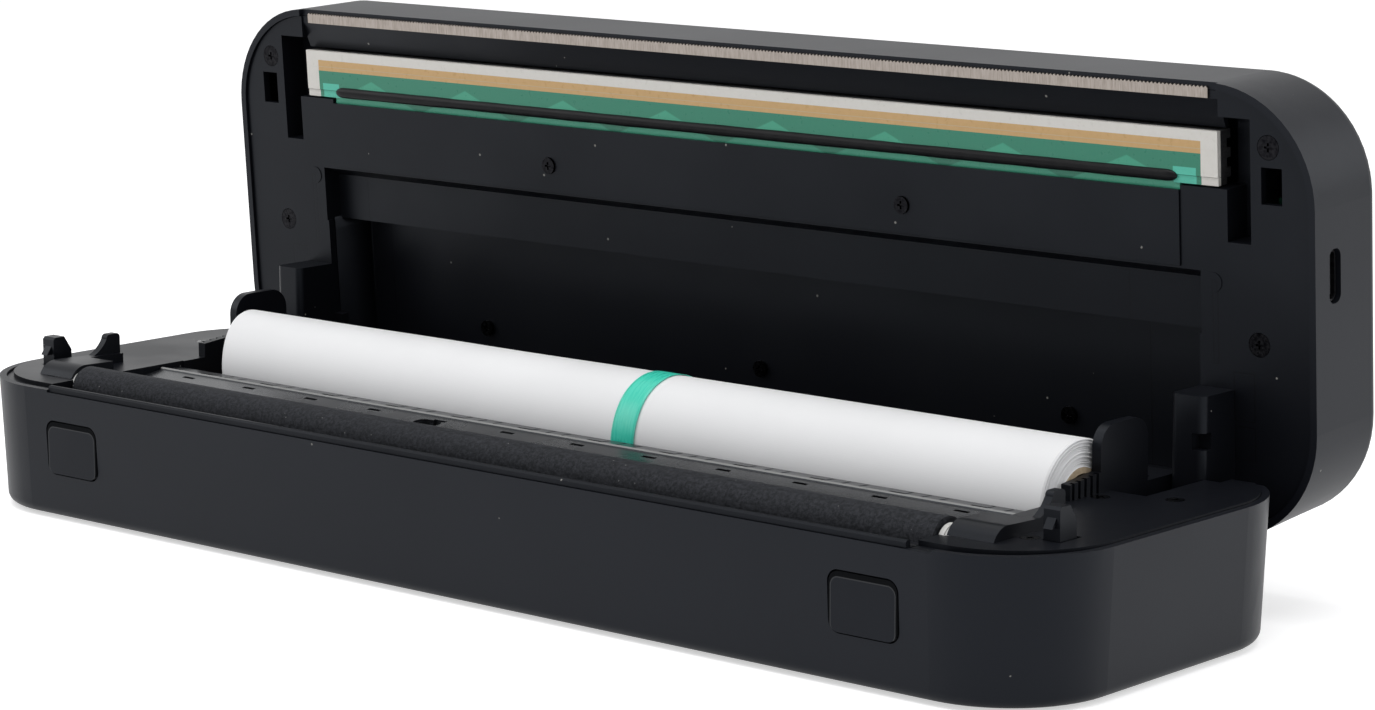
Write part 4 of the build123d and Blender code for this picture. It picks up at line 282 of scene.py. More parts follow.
# %% [markdown]
# ## The inside of the printer
# The inner mouldings have witness lines from their tool: two upright seams in the wall of
# the paper trough, and the outlines of small covers over the hinge arms. They are too fine
# for solids, so the material draws them as shallow grooves at their real places. Masks do
# this: a mask is 1 inside the outline and 0 elsewhere, and the bump subtracts it.

# %% Inner plastic with its seams
LID_FOOT_Z = 14.2        # height of the lid's hinge edge, from which its own height is counted


def outline(tree, across, up, box, line):
    """1 on the border of a box: inside it, but not inside the box shrunk by the line."""
    x0, x1, z0, z1 = box
    outer = sums(tree, "MULTIPLY", strip(tree, across, x0, x1), strip(tree, up, z0, z1))
    within = sums(
        tree,
        "MULTIPLY",
        strip(tree, across, x0 + line, x1 - line),
        strip(tree, up, z0 + line, z1 - line),
    )
    return sums(tree, "SUBTRACT", outer, within)


def inner_plastic(name, seams=()):
    """Near-black plastic with the given outlines cut into it as shallow dark grooves."""
    material, tree, shader = start_finish(name, 0.36, specular=0.16, tint=COOL_SHEEN)
    x, _, z = millimetres(tree)[1:]
    wide = sums(tree, "ABSOLUTE", x)
    groove = None
    for across, box, line in seams:
        mask = outline(tree, wide if across == "both" else x, z, box, line)
        groove = mask if groove is None else sums(tree, "MAXIMUM", groove, mask)
    patches = effect(tree, "handling", Patch_size_in_mm=30.0)
    shade = blend(tree, patches, colour(0.0034, 0.0038, 0.0054), colour(0.0050, 0.0055, 0.0075))
    specks = effect(tree, "dust", Speck_spacing_in_mm=5.5, Speck_size=0.045)
    grain = effect(tree, "moulded_grain", Grains_per_mm=2.2)
    if groove is not None:
        shade = blend(tree, groove, shade, colour(0.003, 0.003, 0.004))
        grain = sums(tree, "SUBTRACT", grain, sums(tree, "MULTIPLY", groove, 14.0))
    tree.links.new(blend(tree, specks, shade, DUST_GREY), shader.inputs["Base Color"])
    matte = spread(tree, patches, 0.0, 1.0, 0.42, 0.32)
    tree.links.new(sums(tree, "MAXIMUM", matte, specks), shader.inputs["Roughness"])
    relief(tree, shader, grain, 0.008)
    return material


LID_SEAMS = [
    ("x", (-101.2, 92.3, LID_FOOT_Z + 8.0, LID_FOOT_Z + 47.3), 0.25),
    ("both", (116.4, 120.9, LID_FOOT_Z + 14.5, LID_FOOT_Z + 20.6), 0.3),
    ("both", (116.4, 120.9, LID_FOOT_Z + 21.4, LID_FOOT_Z + 30.2), 0.3),
    ("both", (112.3, 113.6, LID_FOOT_Z + 31.0, LID_FOOT_Z + 46.0), 0.3),
]
lid_plastic = inner_plastic("lid_frame_plastic", LID_SEAMS)
deck_plastic = inner_plastic("deck_plastic")
print("lid frame drawn with", len(LID_SEAMS), "seam outlines")

# %% [markdown]
# ## The guide, the front lip and the buttons
# Paper slides over the ridge of the guide, and a thin bright line along the ridge is a
# painted highlight for its polish; behind the ridge the strip is crossed by narrow vents.
# The lip in front of the platen has a groove along it, with a faint painted highlight as a
# hair line beside it. The release buttons have a dished border, with a faint painted
# highlight as a ring inside it. The vents, the groove and the border are coloured
# near-black as painted shade in these recesses, besides their dent in the bump. All of
# these are shallow, so they are masks as well: bands of depth for the ridge and the
# groove, a repeating sawtooth of the length for the vents, and the distance to a rounded
# square for a button.

# %% Guide, lip and button
RIDGE_Y, VENT_PITCH = -19.79, 17.6
LIP_GROOVE_Y = -48.6
BUTTON_AT, BUTTON_HALF, BUTTON_ROUND = (98.8, 14.06), (7.15, 5.15), 2.0


def drawn_plastic(name, rough, specular, shade, draw):
    """Black plastic over which draw(tree, places) gives (painted-highlight mask, groove mask); the groove is
    also coloured near-black as painted shade.
    """
    material, tree, shader = start_finish(name, rough, specular=specular, tint=COOL_SHEEN)
    painted_highlight, groove = draw(tree, *millimetres(tree)[1:])
    patches = effect(tree, "handling", Patch_size_in_mm=30.0)
    under = blend(tree, patches, colour(*shade), colour(*(1.35 * part for part in shade)))
    # painted highlight: a pale grey line on the guide's ridge, a faint hair line on the lip and a faint ring
    # on the button
    under = blend(tree, painted_highlight, under, colour(0.24, 0.24, 0.235))
    # painted shade: the vents, the lip's groove and the button's border are coloured near-black as shade in
    # these recesses
    under = blend(tree, groove, under, colour(0.001, 0.001, 0.0012))
    specks = effect(tree, "dust", Speck_spacing_in_mm=5.0, Speck_size=0.04)
    tree.links.new(blend(tree, specks, under, DUST_GREY), shader.inputs["Base Color"])
    matte = spread(tree, patches, 0.0, 1.0, rough + 0.05, rough - 0.05)
    tree.links.new(sums(tree, "MAXIMUM", matte, groove), shader.inputs["Roughness"])
    grain = effect(tree, "moulded_grain", Grains_per_mm=3.0)
    relief(tree, shader, sums(tree, "SUBTRACT", grain, sums(tree, "MULTIPLY", groove, 12.0)), 0.008)
    return material


def guide_marks(tree, x, y, z):
    """Painted highlight: a band at the ridge, for its polish. Vents: thin teeth of a sawtooth of x, behind
    the ridge.
    """
    ridge = strip(tree, y, RIDGE_Y - 0.32, RIDGE_Y + 0.32)
    saw = sums(tree, "PINGPONG", sums(tree, "ADD", x, 3.0), VENT_PITCH / 2)
    vents = sums(tree, "MAXIMUM", strip(tree, saw, 0.0, 0.3), strip(tree, saw, 3.6, 4.2))
    return ridge, sums(tree, "MULTIPLY", vents, strip(tree, y, RIDGE_Y + 1.2, RIDGE_Y + 4.6))


def lip_marks(tree, x, y, z):
    """Painted highlight: a faint hair line beside the groove. Groove: a band of depth along the lip."""
    line = strip(tree, y, LIP_GROOVE_Y + 0.25, LIP_GROOVE_Y + 0.38)
    return sums(tree, "MULTIPLY", line, 0.25), strip(tree, y, LIP_GROOVE_Y - 0.22, LIP_GROOVE_Y + 0.22)


def button_marks(tree, x, y, z):
    """Painted highlight: a faint ring just inside the border. Groove: where the distance to a rounded square
    lies within its border.
    """
    parts = []
    for value, middle, half in zip((sums(tree, "ABSOLUTE", x), z), BUTTON_AT, BUTTON_HALF):
        off = sums(tree, "ABSOLUTE", sums(tree, "SUBTRACT", value, middle))
        beyond = sums(tree, "MAXIMUM", sums(tree, "SUBTRACT", off, half - BUTTON_ROUND), 0.0)
        parts.append(sums(tree, "POWER", beyond, 2.0))
    reach = sums(tree, "SQRT", sums(tree, "ADD", *parts))
    border = strip(tree, reach, BUTTON_ROUND - 0.28, BUTTON_ROUND + 1.0)
    return sums(tree, "MULTIPLY", strip(tree, reach, BUTTON_ROUND - 0.5, BUTTON_ROUND - 0.28), 0.12), border


guide_plastic = drawn_plastic("guide_plastic", 0.27, 0.4, (0.007, 0.0074, 0.0086), guide_marks)
lip_plastic = drawn_plastic("lip_plastic", 0.42, 0.12, (0.004, 0.0044, 0.006), lip_marks)
key_plastic = drawn_plastic("key_plastic", 0.40, 0.15, CASE_SHADE, button_marks)
print("marks drawn on", guide_plastic.name, lip_plastic.name, key_plastic.name)

# %% [markdown]
# ## Rubber, paper and tape
# The platen is a ground rubber sleeve: dull, with a fine tooth that grips the paper.
# Thermal paper is white with a faint sheen; across a roll it shows nothing but soft
# shading, while its ends show the edges of the layers as fine rings. The band of film
# that seals the new roll is translucent green.

# %% Rubber, paper, tape
def platen_finish():
    """Dull black rubber with a ground tooth: a close noise for colour, roughness and bump."""
    material, tree, shader = start_finish("platen_rubber_ground", 0.68, specular=0.16, tint=COOL_SHEEN)
    place = millimetres(tree)[0]
    tooth = node(tree, "TexNoise", {"Vector": place, "Scale": 1.5, "Detail": 5.0, "Roughness": 0.75})
    rubbed = spread(tree, tooth.outputs[0], 0.42, 0.62)
    shade = blend(tree, rubbed, colour(0.003, 0.0032, 0.004), colour(0.032, 0.033, 0.038))
    specks = effect(tree, "dust", Speck_spacing_in_mm=2.2, Speck_size=0.06)
    tree.links.new(blend(tree, specks, shade, colour(0.16, 0.16, 0.16)), shader.inputs["Base Color"])
    tree.links.new(spread(tree, rubbed, 0.0, 1.0, 0.62, 0.78), shader.inputs["Roughness"])
    relief(tree, shader, tooth.outputs[0], 0.12)
    return material


def paper_finish():
    """White paper: slow mottling of the colour and a fibrous bump across the sheet."""
    material, tree, shader = start_finish("thermal_paper", 0.5, specular=0.35)
    place = millimetres(tree)[0]
    slow = effect(tree, "handling", Patch_size_in_mm=26.0)
    white = blend(tree, slow, colour(0.81, 0.813, 0.825), colour(0.84, 0.843, 0.855))
    fibre = node(tree, "Mapping", {"Vector": place, "Scale": (0.5, 3.0, 3.0)})
    fibres = node(tree, "TexNoise", {"Vector": fibre.outputs[0], "Scale": 1.2, "Detail": 3.0})
    tree.links.new(white, shader.inputs["Base Color"])
    tree.links.new(spread(tree, slow, 0.0, 1.0, 0.46, 0.54), shader.inputs["Roughness"])
    relief(tree, shader, fibres.outputs[0], 0.006)
    return material


def tape_finish():
    """Green film: faint streaks along the tape and a slightly paler selvedge on each side."""
    material, tree, shader = start_finish("sealing_film", 0.32, specular=0.4)
    place, x = millimetres(tree)[:2]
    streak = node(tree, "Mapping", {"Vector": place, "Scale": (2.2, 0.25, 0.25)})
    streaks = node(tree, "TexNoise", {"Vector": streak.outputs[0], "Scale": 1.0, "Detail": 2.0})
    green = blend(tree, streaks.outputs[0], colour(0.034, 0.60, 0.44), colour(0.060, 0.68, 0.51))
    side = sums(tree, "ABSOLUTE", sums(tree, "SUBTRACT", x, 12.0))
    tree.links.new(
        blend(tree, spread(tree, side, 2.5, 2.75), green, colour(0.13, 0.76, 0.59)),
        shader.inputs["Base Color"],
    )
    tree.links.new(spread(tree, streaks.outputs[0], 0.3, 0.7, 0.2, 0.36), shader.inputs["Roughness"])
    relief(tree, shader, streaks.outputs[0], 0.01)
    return material


def card_finish():
    """Brown board of the core: pale fibres over a darker ground."""
    material, tree, shader = start_finish("core_board", 0.85, specular=0.2)
    place = millimetres(tree)[0]
    fibres = node(tree, "TexNoise", {"Vector": place, "Scale": 1.6, "Detail": 5.0})
    tree.links.new(
        blend(tree, fibres.outputs[0], colour(0.36, 0.27, 0.17), colour(0.52, 0.43, 0.31)),
        shader.inputs["Base Color"],
    )
    relief(tree, shader, fibres.outputs[0], 0.04)
    return material


platen_rubber, thermal_paper = platen_finish(), paper_finish()
sealing_film, core_board = tape_finish(), card_finish()
print("soft finishes:", platen_rubber.name, thermal_paper.name, sealing_film.name, core_board.name)

# %% [markdown]
# ## Metals
# Four metals show on this printer: the stainless tear blade, nickelled shafts and spring
# wire, black-oxide screws and the aluminium plate behind the head. A drawn or ground metal
# is streaked one way, so its noise is stretched along that way by a Mapping node. The same
# streaks change the roughness, which is what the eye reads as brushed metal.

# %% Metals
def brushed_metal(name, dark, light, rough, along=(0.06, 3.0, 3.0), depth=0.004, specular=0.5):
    """Metal whose colour, roughness and bump follow one noise stretched along the part."""
    material, tree, shader = start_finish(name, rough, metal=1.0, specular=specular)
    place = millimetres(tree)[0]
    stretched = node(tree, "Mapping", {"Vector": place, "Scale": along})
    streaks = node(tree, "TexNoise", {"Vector": stretched.outputs[0], "Scale": 1.0, "Detail": 4.0})
    mask = spread(tree, streaks.outputs[0], 0.32, 0.68)
    tree.links.new(blend(tree, mask, colour(*dark), colour(*light)), shader.inputs["Base Color"])
    tree.links.new(spread(tree, mask, 0.0, 1.0, rough - 0.08, rough + 0.08), shader.inputs["Roughness"])
    relief(tree, shader, streaks.outputs[0], depth)
    return material


blade_steel = brushed_metal("blade_steel", (0.24, 0.21, 0.185), (0.36, 0.32, 0.29), 0.38, along=(3, 0.4, 0.4))
shaft_steel = brushed_metal("shaft_steel", (0.42, 0.42, 0.43), (0.60, 0.60, 0.61), 0.26)
screw_black = brushed_metal("black_oxide_screws", (0.004, 0.004, 0.005), (0.014, 0.014, 0.016), 0.26,
                            along=(1.5, 1.5, 1.5))
spring_steel = brushed_metal("spring_steel", (0.45, 0.45, 0.44), (0.62, 0.62, 0.6), 0.24, along=(2, 2, 2))
heatsink_alloy = brushed_metal("heatsink_alloy", (0.10, 0.10, 0.105), (0.17, 0.17, 0.175), 0.5)
plug_steel = brushed_metal("plug_shell_steel", (0.035, 0.035, 0.04), (0.07, 0.07, 0.075), 0.4)
pinion_brass = brushed_metal("pinion_brass", (0.42, 0.30, 0.11), (0.58, 0.43, 0.18), 0.3)
print("metals:", blade_steel.name, shaft_steel.name, screw_black.name, heatsink_alloy.name)

# %% [markdown]
# ## The thermal head
# The head is a glazed ceramic strip next to a green circuit board. Along it run, from the
# top down, bare white glaze, a tan band with the row of heaters, and green conductors that
# gather in flat fans towards the driver chips. The bands are straight along the head, so
# they are masks of the height in the lid, and the fans are a zigzag of the length: the
# distance to the nearest fan's middle, compared with the height, gives a row of triangles.

# %% Ceramic, board and coating
HEAD_BAND_LOW, HEAD_BAND_TAN, HEAD_BAND_WHITE = 62.0, 67.9, 70.1
FAN_PITCH = 27.0
HEAD_TAN_HALF = 110.0


def head_finish(name):
    """Bands of white, tan and green by height, with fans of lighter green between chips."""
    material, tree, shader = start_finish(name, 0.32, specular=0.35)
    place, x, _, z = millimetres(tree)
    up = sums(tree, "SUBTRACT", z, LID_FOOT_Z)
    grain = node(tree, "TexNoise", {"Vector": place, "Scale": 0.9, "Detail": 3.0}).outputs[0]
    turn = sums(tree, "PINGPONG", x, FAN_PITCH / 2)
    fan = sums(tree, "ADD", sums(tree, "MULTIPLY", turn, 0.42), HEAD_BAND_LOW - 1.2)
    fans = spread(tree, sums(tree, "SUBTRACT", up, fan), -0.12, 0.12)
    green = blend(tree, fans, colour(0.062, 0.39, 0.25), colour(0.030, 0.23, 0.145))
    lines = node(tree, "TexWave", {"Vector": place, "Scale": 1.1, "Distortion": 0.0}, bands_direction="X")
    green = blend(tree, sums(tree, "MULTIPLY", lines.outputs["Fac"], 0.35), green, colour(0.06, 0.30, 0.20))
    tan = blend(tree, grain, colour(0.60, 0.37, 0.15), colour(0.67, 0.44, 0.21))
    white = blend(tree, grain, colour(0.74, 0.72, 0.67), colour(0.80, 0.78, 0.74))
    wide = sums(tree, "ABSOLUTE", x)
    face = blend(tree, sums(tree, "GREATER_THAN", up, HEAD_BAND_TAN), green, tan)
    heaters = strip(tree, up, HEAD_BAND_TAN + 0.75, HEAD_BAND_TAN + 0.95)
    face = blend(tree, heaters, face, colour(0.62, 0.46, 0.27))
    top = sums(tree, "GREATER_THAN", up, HEAD_BAND_WHITE)
    ends = sums(tree, "GREATER_THAN", wide, HEAD_TAN_HALF)
    face = blend(tree, sums(tree, "MAXIMUM", top, ends), face, white)
    pads = sums(tree, "MULTIPLY", strip(tree, wide, 104.2, 109.0), strip(tree, up, 62.4, 65.3))
    face = blend(tree, pads, face, colour(0.10, 0.56, 0.42))
    tree.links.new(face, shader.inputs["Base Color"])
    tree.links.new(spread(tree, grain, 0.3, 0.7, 0.26, 0.38), shader.inputs["Roughness"])
    steps = sums(tree, "ADD", sums(tree, "MULTIPLY", grain, 0.15), sums(tree, "MULTIPLY", heaters, 1.0))
    relief(tree, shader, steps, 0.02)
    return material


def board_finish():
    """Solder-resist green with fine copper tracks showing through as a lighter wave."""
    material, tree, shader = start_finish("board_green", 0.35, coat=0.2)
    place = millimetres(tree)[0]
    cells = node(tree, "TexVoronoi", {"Vector": place, "Scale": 0.35}, distance="CHEBYCHEV")
    tracks = spread(tree, cells.outputs["Distance"], 0.28, 0.34)
    tree.links.new(
        blend(tree, tracks, colour(0.008, 0.09, 0.05), colour(0.016, 0.15, 0.085)),
        shader.inputs["Base Color"],
    )
    tree.links.new(spread(tree, tracks, 0.0, 1.0, 0.3, 0.42), shader.inputs["Roughness"])
    relief(tree, shader, tracks, 0.03)
    return material


def cast_finish(name, dark, light, rough, scale, depth, specular=0.5, coat=0.0):
    """A cast or sintered part: mottled colour, roughness and bump from one noise."""
    material, tree, shader = start_finish(name, rough, specular=specular, coat=coat)
    place = millimetres(tree)[0]
    mottle = node(tree, "TexNoise", {"Vector": place, "Scale": scale, "Detail": 4.0}).outputs[0]
    mask = spread(tree, mottle, 0.35, 0.65)
    tree.links.new(blend(tree, mask, colour(*dark), colour(*light)), shader.inputs["Base Color"])
    tree.links.new(spread(tree, mask, 0.0, 1.0, rough - 0.05, rough + 0.05), shader.inputs["Roughness"])
    relief(tree, shader, mottle, depth)
    return material


head_glaze, board_green = head_finish("head_glaze"), board_finish()
black_resin = cast_finish("black_resin", (0.003, 0.003, 0.004), (0.006, 0.006, 0.007),
                          0.34, 0.5, 0.006, specular=0.12)
bush_nylon = cast_finish("bush_nylon", (0.62, 0.62, 0.60), (0.72, 0.72, 0.70), 0.45, 0.6, 0.01)
gear_acetal = cast_finish("gear_acetal", (0.52, 0.52, 0.50), (0.66, 0.66, 0.63), 0.4, 0.6, 0.01)
pack_wrap = cast_finish("battery_wrap", (0.04, 0.11, 0.27), (0.055, 0.145, 0.33), 0.3, 0.15, 0.02)
lens_clear = cast_finish("lens_milky", (0.42, 0.48, 0.46), (0.55, 0.61, 0.59), 0.2, 0.5, 0.005, coat=0.6)
print("head bands at", HEAD_BAND_LOW, HEAD_BAND_TAN, HEAD_BAND_WHITE, "mm up the lid")

# %% [markdown]
# ## Dress the solid parts
# Each solid part names a slot in the printer's record, such as "case" or "steel". The
# parts whose shape is already right keep it and only take a finish from this table. The
# lid frame, the guide and the head get the finishes made for them alone.

# %% Finishes by slot
SLOT_FINISH = {
    "case": case_plastic, "inner_plastic": deck_plastic, "glossy_plastic": guide_plastic,
    "keys": key_plastic, "feet": foot_rubber, "platen_rubber": platen_rubber,
    "steel": shaft_steel, "fasteners": screw_black, "spring_wire": spring_steel,
    "bush": bush_nylon, "gears": gear_acetal, "pinion": pinion_brass, "ceramic": head_glaze,
    "circuit_board": board_green, "resin": black_resin, "heatsink": heatsink_alloy,
    "connector": plug_steel, "lens": lens_clear, "battery": pack_wrap, "paper": thermal_paper,
    "card": core_board, "tape": sealing_film,
}
PART_FINISH = {
    "lid_frame": lid_plastic, "head_board": head_glaze, "tear_blade": blade_steel,
    "front_lip": lip_plastic, "paper_guide": guide_plastic, "power_button": case_plastic,
}
for row in frame["record"]["subparts"]:
    part = nodes[row["node"]]
    part.data.materials.clear()
    part.data.materials.append(PART_FINISH.get(row["node"], SLOT_FINISH[row["material_slot"]]))

# %% [markdown]
# ## Surfaces on a grid
# The new pieces are all worked out as a grid of points: one parameter runs round or across
# the piece and the other along it. The helper below joins such a grid with four-sided
# faces, closes it where asked, and puts it into a mesh whose object stays at the origin.

# %% Grid surfaces
def grid_piece(name, points, close_first=False, close_second=False):
    """A mesh from a grid of points (rows, columns, 3) in millimetres.

    Each face joins point (i, j) with (i+1, j), (i+1, j+1) and (i, j+1); a closed direction
    also joins its last line of points to its first.
    """
    rows, columns = points.shape[:2]
    i = np.arange(rows if close_first else rows - 1)
    j = np.arange(columns if close_second else columns - 1)
    i, j = (a.ravel() for a in np.meshgrid(i, j, indexing="ij"))
    below, beside = (i + 1) % rows, (j + 1) % columns
    here, under = i * columns, below * columns
    faces = np.stack([here + j, under + j, under + beside, here + beside], 1)
    data = bpy.data.meshes.new(name)
    data.from_pydata((points.reshape(-1, 3) * MM).tolist(), [], faces.tolist())
    data.polygons.foreach_set("use_smooth", np.ones(len(faces), bool))
    data.update()
    piece = bpy.data.objects.new(name, data)
    bpy.context.scene.collection.objects.link(piece)
    return piece


def dress(piece, finish, body, slot, *replaced):
    """The piece gets its finish, rides on its body and stands for the solids it replaces."""
    piece.data.materials.append(finish)
    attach(piece, body)
    if replaced:
        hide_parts(*replaced)
    return piece


def wobble(values, rates, phases):
    """A repeatable unevenness from -1 to 1: the mean of sines at several rates."""
    waves = [np.sin(values * rate + phase) for rate, phase in zip(rates, phases)]
    return sum(waves) / len(waves)


print("grid helper ready")

# %% [markdown]
# ## The roll of paper
# A new roll isn't a perfect cylinder. Its layers have slid a little along each other, so
# the left end leans out like a shallow cone, the right end is ragged by tenths of a
# millimetre, and the outer sheet ends in a step along the roll. The surface has two
# parameters: the angle round the roll, and the way round its cross-section, which goes up
# the left end from the core, along the outside, down the right end and back through the
# bore. The end faces are cut into many narrow rings, so that the layers catch the light.

# %% Paper roll
ROLL_AXIS = np.array([0.0, -1.786, 24.6])
ROLL_R, ROLL_BORE = 11.5, 6.46
ROLL_LEFT, ROLL_RIGHT = -97.5, 107.0
LEAN_OF_LAYERS = 0.9       # outer layers set back from the inner ones at the left end
LEFT_SKEW = 5.9            # the left end leans out towards the rear of the roll
LAYERS = 34
OUTER_SHEET_START = 0.30   # where the outer sheet ends, as a share of a turn
SHEET_STEP = 0.10          # how far the radius drops over that turn


def paper_roll_surface():
    """Radius and length as functions of the section's way round and of the angle.

    Left end: x rises from the core's end to the outside by the lean, plus a small step for
    each layer; the whole end is skewed, so that the rear reaches further out than the
    front by a squared cosine of the angle. Right end: x falls back by ragged tenths.
    Outside: the radius shrinks by one thin sheet over a turn, which leaves a step where
    the outer sheet ends.
    """
    angle = np.linspace(0, 2 * np.pi, 200, endpoint=False)
    rings = np.repeat(np.linspace(0, 1, LAYERS), 2)
    jog = np.tile([0.0, 1.0], LAYERS)
    left_r = ROLL_BORE + (ROLL_R - 0.25 - ROLL_BORE) * rings
    left_x = ROLL_LEFT + LEAN_OF_LAYERS * rings**1.5 + 0.06 * jog * wobble(rings, (60, 91), (0, 1))
    right_r = left_r[::-1]
    right_x = ROLL_RIGHT - 0.42 + 0.30 * wobble(rings[::-1], (37, 83, 51), (0.4, 2, 1)) - 0.05 * jog
    along = np.linspace(ROLL_LEFT + LEAN_OF_LAYERS + 0.5, ROLL_RIGHT - 0.7, 60)
    bore = np.linspace(ROLL_RIGHT - 1.0, ROLL_LEFT + 1.0, 6)
    section_x = np.concatenate([left_x, along, right_x, bore])
    section_r = np.concatenate([left_r, np.full(60, ROLL_R), right_r, np.full(6, ROLL_BORE)])
    outside = (section_r > ROLL_R - 0.26).astype(float)
    sheet = SHEET_STEP * ((angle / (2 * np.pi) + OUTER_SHEET_START) % 1.0)
    slack = 0.05 * wobble(section_x * 0.05, (1.0, 2.3, 3.1), (0, 1, 2)) - 0.05
    radius = section_r + outside * slack
    radius = radius[None, :] - outside[None, :] * sheet[:, None]
    ripple = wobble(angle[:, None], (1, 2, 5), (0, 1, 3))
    x = section_x[None, :] + 0.12 * (1 - outside[None, :]) * ripple
    nearness = np.clip((0 - section_x) / 90, 0, 1)[None, :]
    x = x - LEFT_SKEW * nearness * ((0.5 + 0.5 * np.cos(angle - np.deg2rad(60))) ** 2)[:, None]
    y = ROLL_AXIS[1] + radius * np.cos(angle)[:, None]
    z = ROLL_AXIS[2] + radius * np.sin(angle)[:, None]
    return np.stack(np.broadcast_arrays(x, y, z), -1)


roll = grid_piece("rolled_paper", paper_roll_surface()[::-1], close_first=True, close_second=True)
roll.data.polygons.foreach_set("use_smooth", np.zeros(len(roll.data.polygons), bool))
dress(roll, thermal_paper, "paper_roll", "paper", "paper_roll")
print("roll of", LAYERS, "layers,", len(roll.data.polygons), "faces")

# %% [markdown]
# ## The sealing tape
# The tape is a strip of film wrapped over the top of the roll. It is a thin closed band:
# one parameter runs along the tape, round the roll, and the other goes round its flat
# section. Its front end has come loose and stands a fraction of a millimetre off.

# %% Sealing tape
TAPE_X0, TAPE_X1 = 9.2, 14.8
TAPE_THICK = 0.1
TAPE_FROM, LOOSE_FROM, TAPE_TO = 61, 178, 199      # degrees round the roll
TAPE_STEPS, TAPE_ACROSS = 90, 9


def tape_surface():
    """Angle from the rear over the top to the front; the radius lifts at the loose end."""
    angle = np.deg2rad(np.linspace(TAPE_FROM, TAPE_TO, TAPE_STEPS))
    loose = np.clip((np.rad2deg(angle) - LOOSE_FROM) / (TAPE_TO - LOOSE_FROM), 0, 1)
    lift = 0.05 + 0.32 * loose**2
    across = np.linspace(0, 1, TAPE_ACROSS)
    top_x, low_x = TAPE_X0 + (TAPE_X1 - TAPE_X0) * across, TAPE_X1 - (TAPE_X1 - TAPE_X0) * across
    section_x = np.concatenate([top_x, low_x])
    section_r = np.concatenate([np.full(TAPE_ACROSS, TAPE_THICK), np.zeros(TAPE_ACROSS)])
    radius = ROLL_R + lift[:, None] + section_r[None, :]
    ends = np.r_[0, np.arange(TAPE_STEPS), TAPE_STEPS - 1]
    closed = np.r_[0, np.ones(TAPE_STEPS), 0]
    middle = (ROLL_R + lift + TAPE_THICK / 2)[ends][:, None]
    radius = middle + (radius[ends] - middle) * closed[:, None]
    x = section_x[None, :] + 0.08 * wobble(angle[ends][:, None], (3, 7), (0, 1))
    y = ROLL_AXIS[1] + radius * np.cos(angle[ends])[:, None]
    z = ROLL_AXIS[2] + radius * np.sin(angle[ends])[:, None]
    return np.stack(np.broadcast_arrays(x, y, z), -1)


tape = grid_piece("sealing_film", tape_surface(), close_second=True)
dress(tape, sealing_film, "paper_roll", "tape", "sealing_tape")
print("tape", round(TAPE_X1 - TAPE_X0, 2), "mm wide")

# %% [markdown]
# ## The resin bead of the head
# The fine wires of the head's driver chips lie under a bead of black resin. It is poured
# along the head and ends in rounded tips. A half-ellipse carried along the head, with both
# of its radii shrinking to nothing at the tips as a quarter circle does, gives the bead.

# %% Resin bead
LID_LEAN = np.deg2rad(3.5)
LID_FACE_Y = 30.8997       # the lid's front plane at the hinge edge, and its height there
LID_FACE_Z = 14.1723
BEAD_HALF, BEAD_R = 105.1, 0.75
BEAD_UP, BEAD_DEEP = 63.7, 0.9
BEAD_TIP = 2.2             # length of the rounded tip
BEAD_FLATNESS = 1.4        # how much taller the bead is than deep


def in_lid(x, up, deep):
    """Points given as across, up the open lid and behind its face, as x, y, z."""
    y = LID_FACE_Y - up * np.sin(LID_LEAN) + deep * np.cos(LID_LEAN)
    z = LID_FACE_Z + up * np.cos(LID_LEAN) + deep * np.sin(LID_LEAN)
    return np.stack(np.broadcast_arrays(x, y, z), -1)


def bead_surface(half, up, deep, radius, turns=24, steps=160):
    """A round bead along x: its radius times a quarter-circle taper at each tip."""
    t = np.linspace(-1, 1, steps)
    x = half * np.sin(t * np.pi / 2)
    into_tip = np.clip((np.abs(x) - (half - BEAD_TIP)) / BEAD_TIP, 0, 1)
    taper = np.sqrt(np.clip(1 - into_tip**2, 0, 1))
    angle = np.linspace(0, 2 * np.pi, turns, endpoint=False)
    uneven = 1 + 0.05 * wobble(x * 0.12, (1, 2.7, 4.1), (0, 2, 1))
    around = (radius * taper * uneven)[:, None]
    tall = up + BEAD_FLATNESS * around * np.sin(angle)
    return in_lid(x[:, None], tall, deep + around * np.cos(angle))


bead_points = bead_surface(BEAD_HALF, BEAD_UP, BEAD_DEEP, BEAD_R)
bead = grid_piece("resin_bead", bead_points, close_second=True)
dress(bead, black_resin, "head", "resin", "head_resin")
print("bead", 2 * BEAD_HALF, "mm long")

# %% [markdown]
# ## Liners behind the roll holders
# The lid has a narrow slot at each end, where a roll holder goes in as the lid shuts. A
# thin moulded liner closes each slot off from the electronics. Its section is an L with a
# rounded corner, and the section is carried straight up the lid.

# %% Slot liners
LINER_FACE, LINER_BACK, LINER_WALL = 2.5, 13.0, 0.3
LINER_SPAN = (8.6, 36.6)
LINER_BEND_X, LINER_BEND_IN = 108.8, 0.8           # middle and inner radius of the corner
LINER_INNER_X, LINER_FACE_X, LINER_OUTER_X = 107.5, 109.6, 109.9


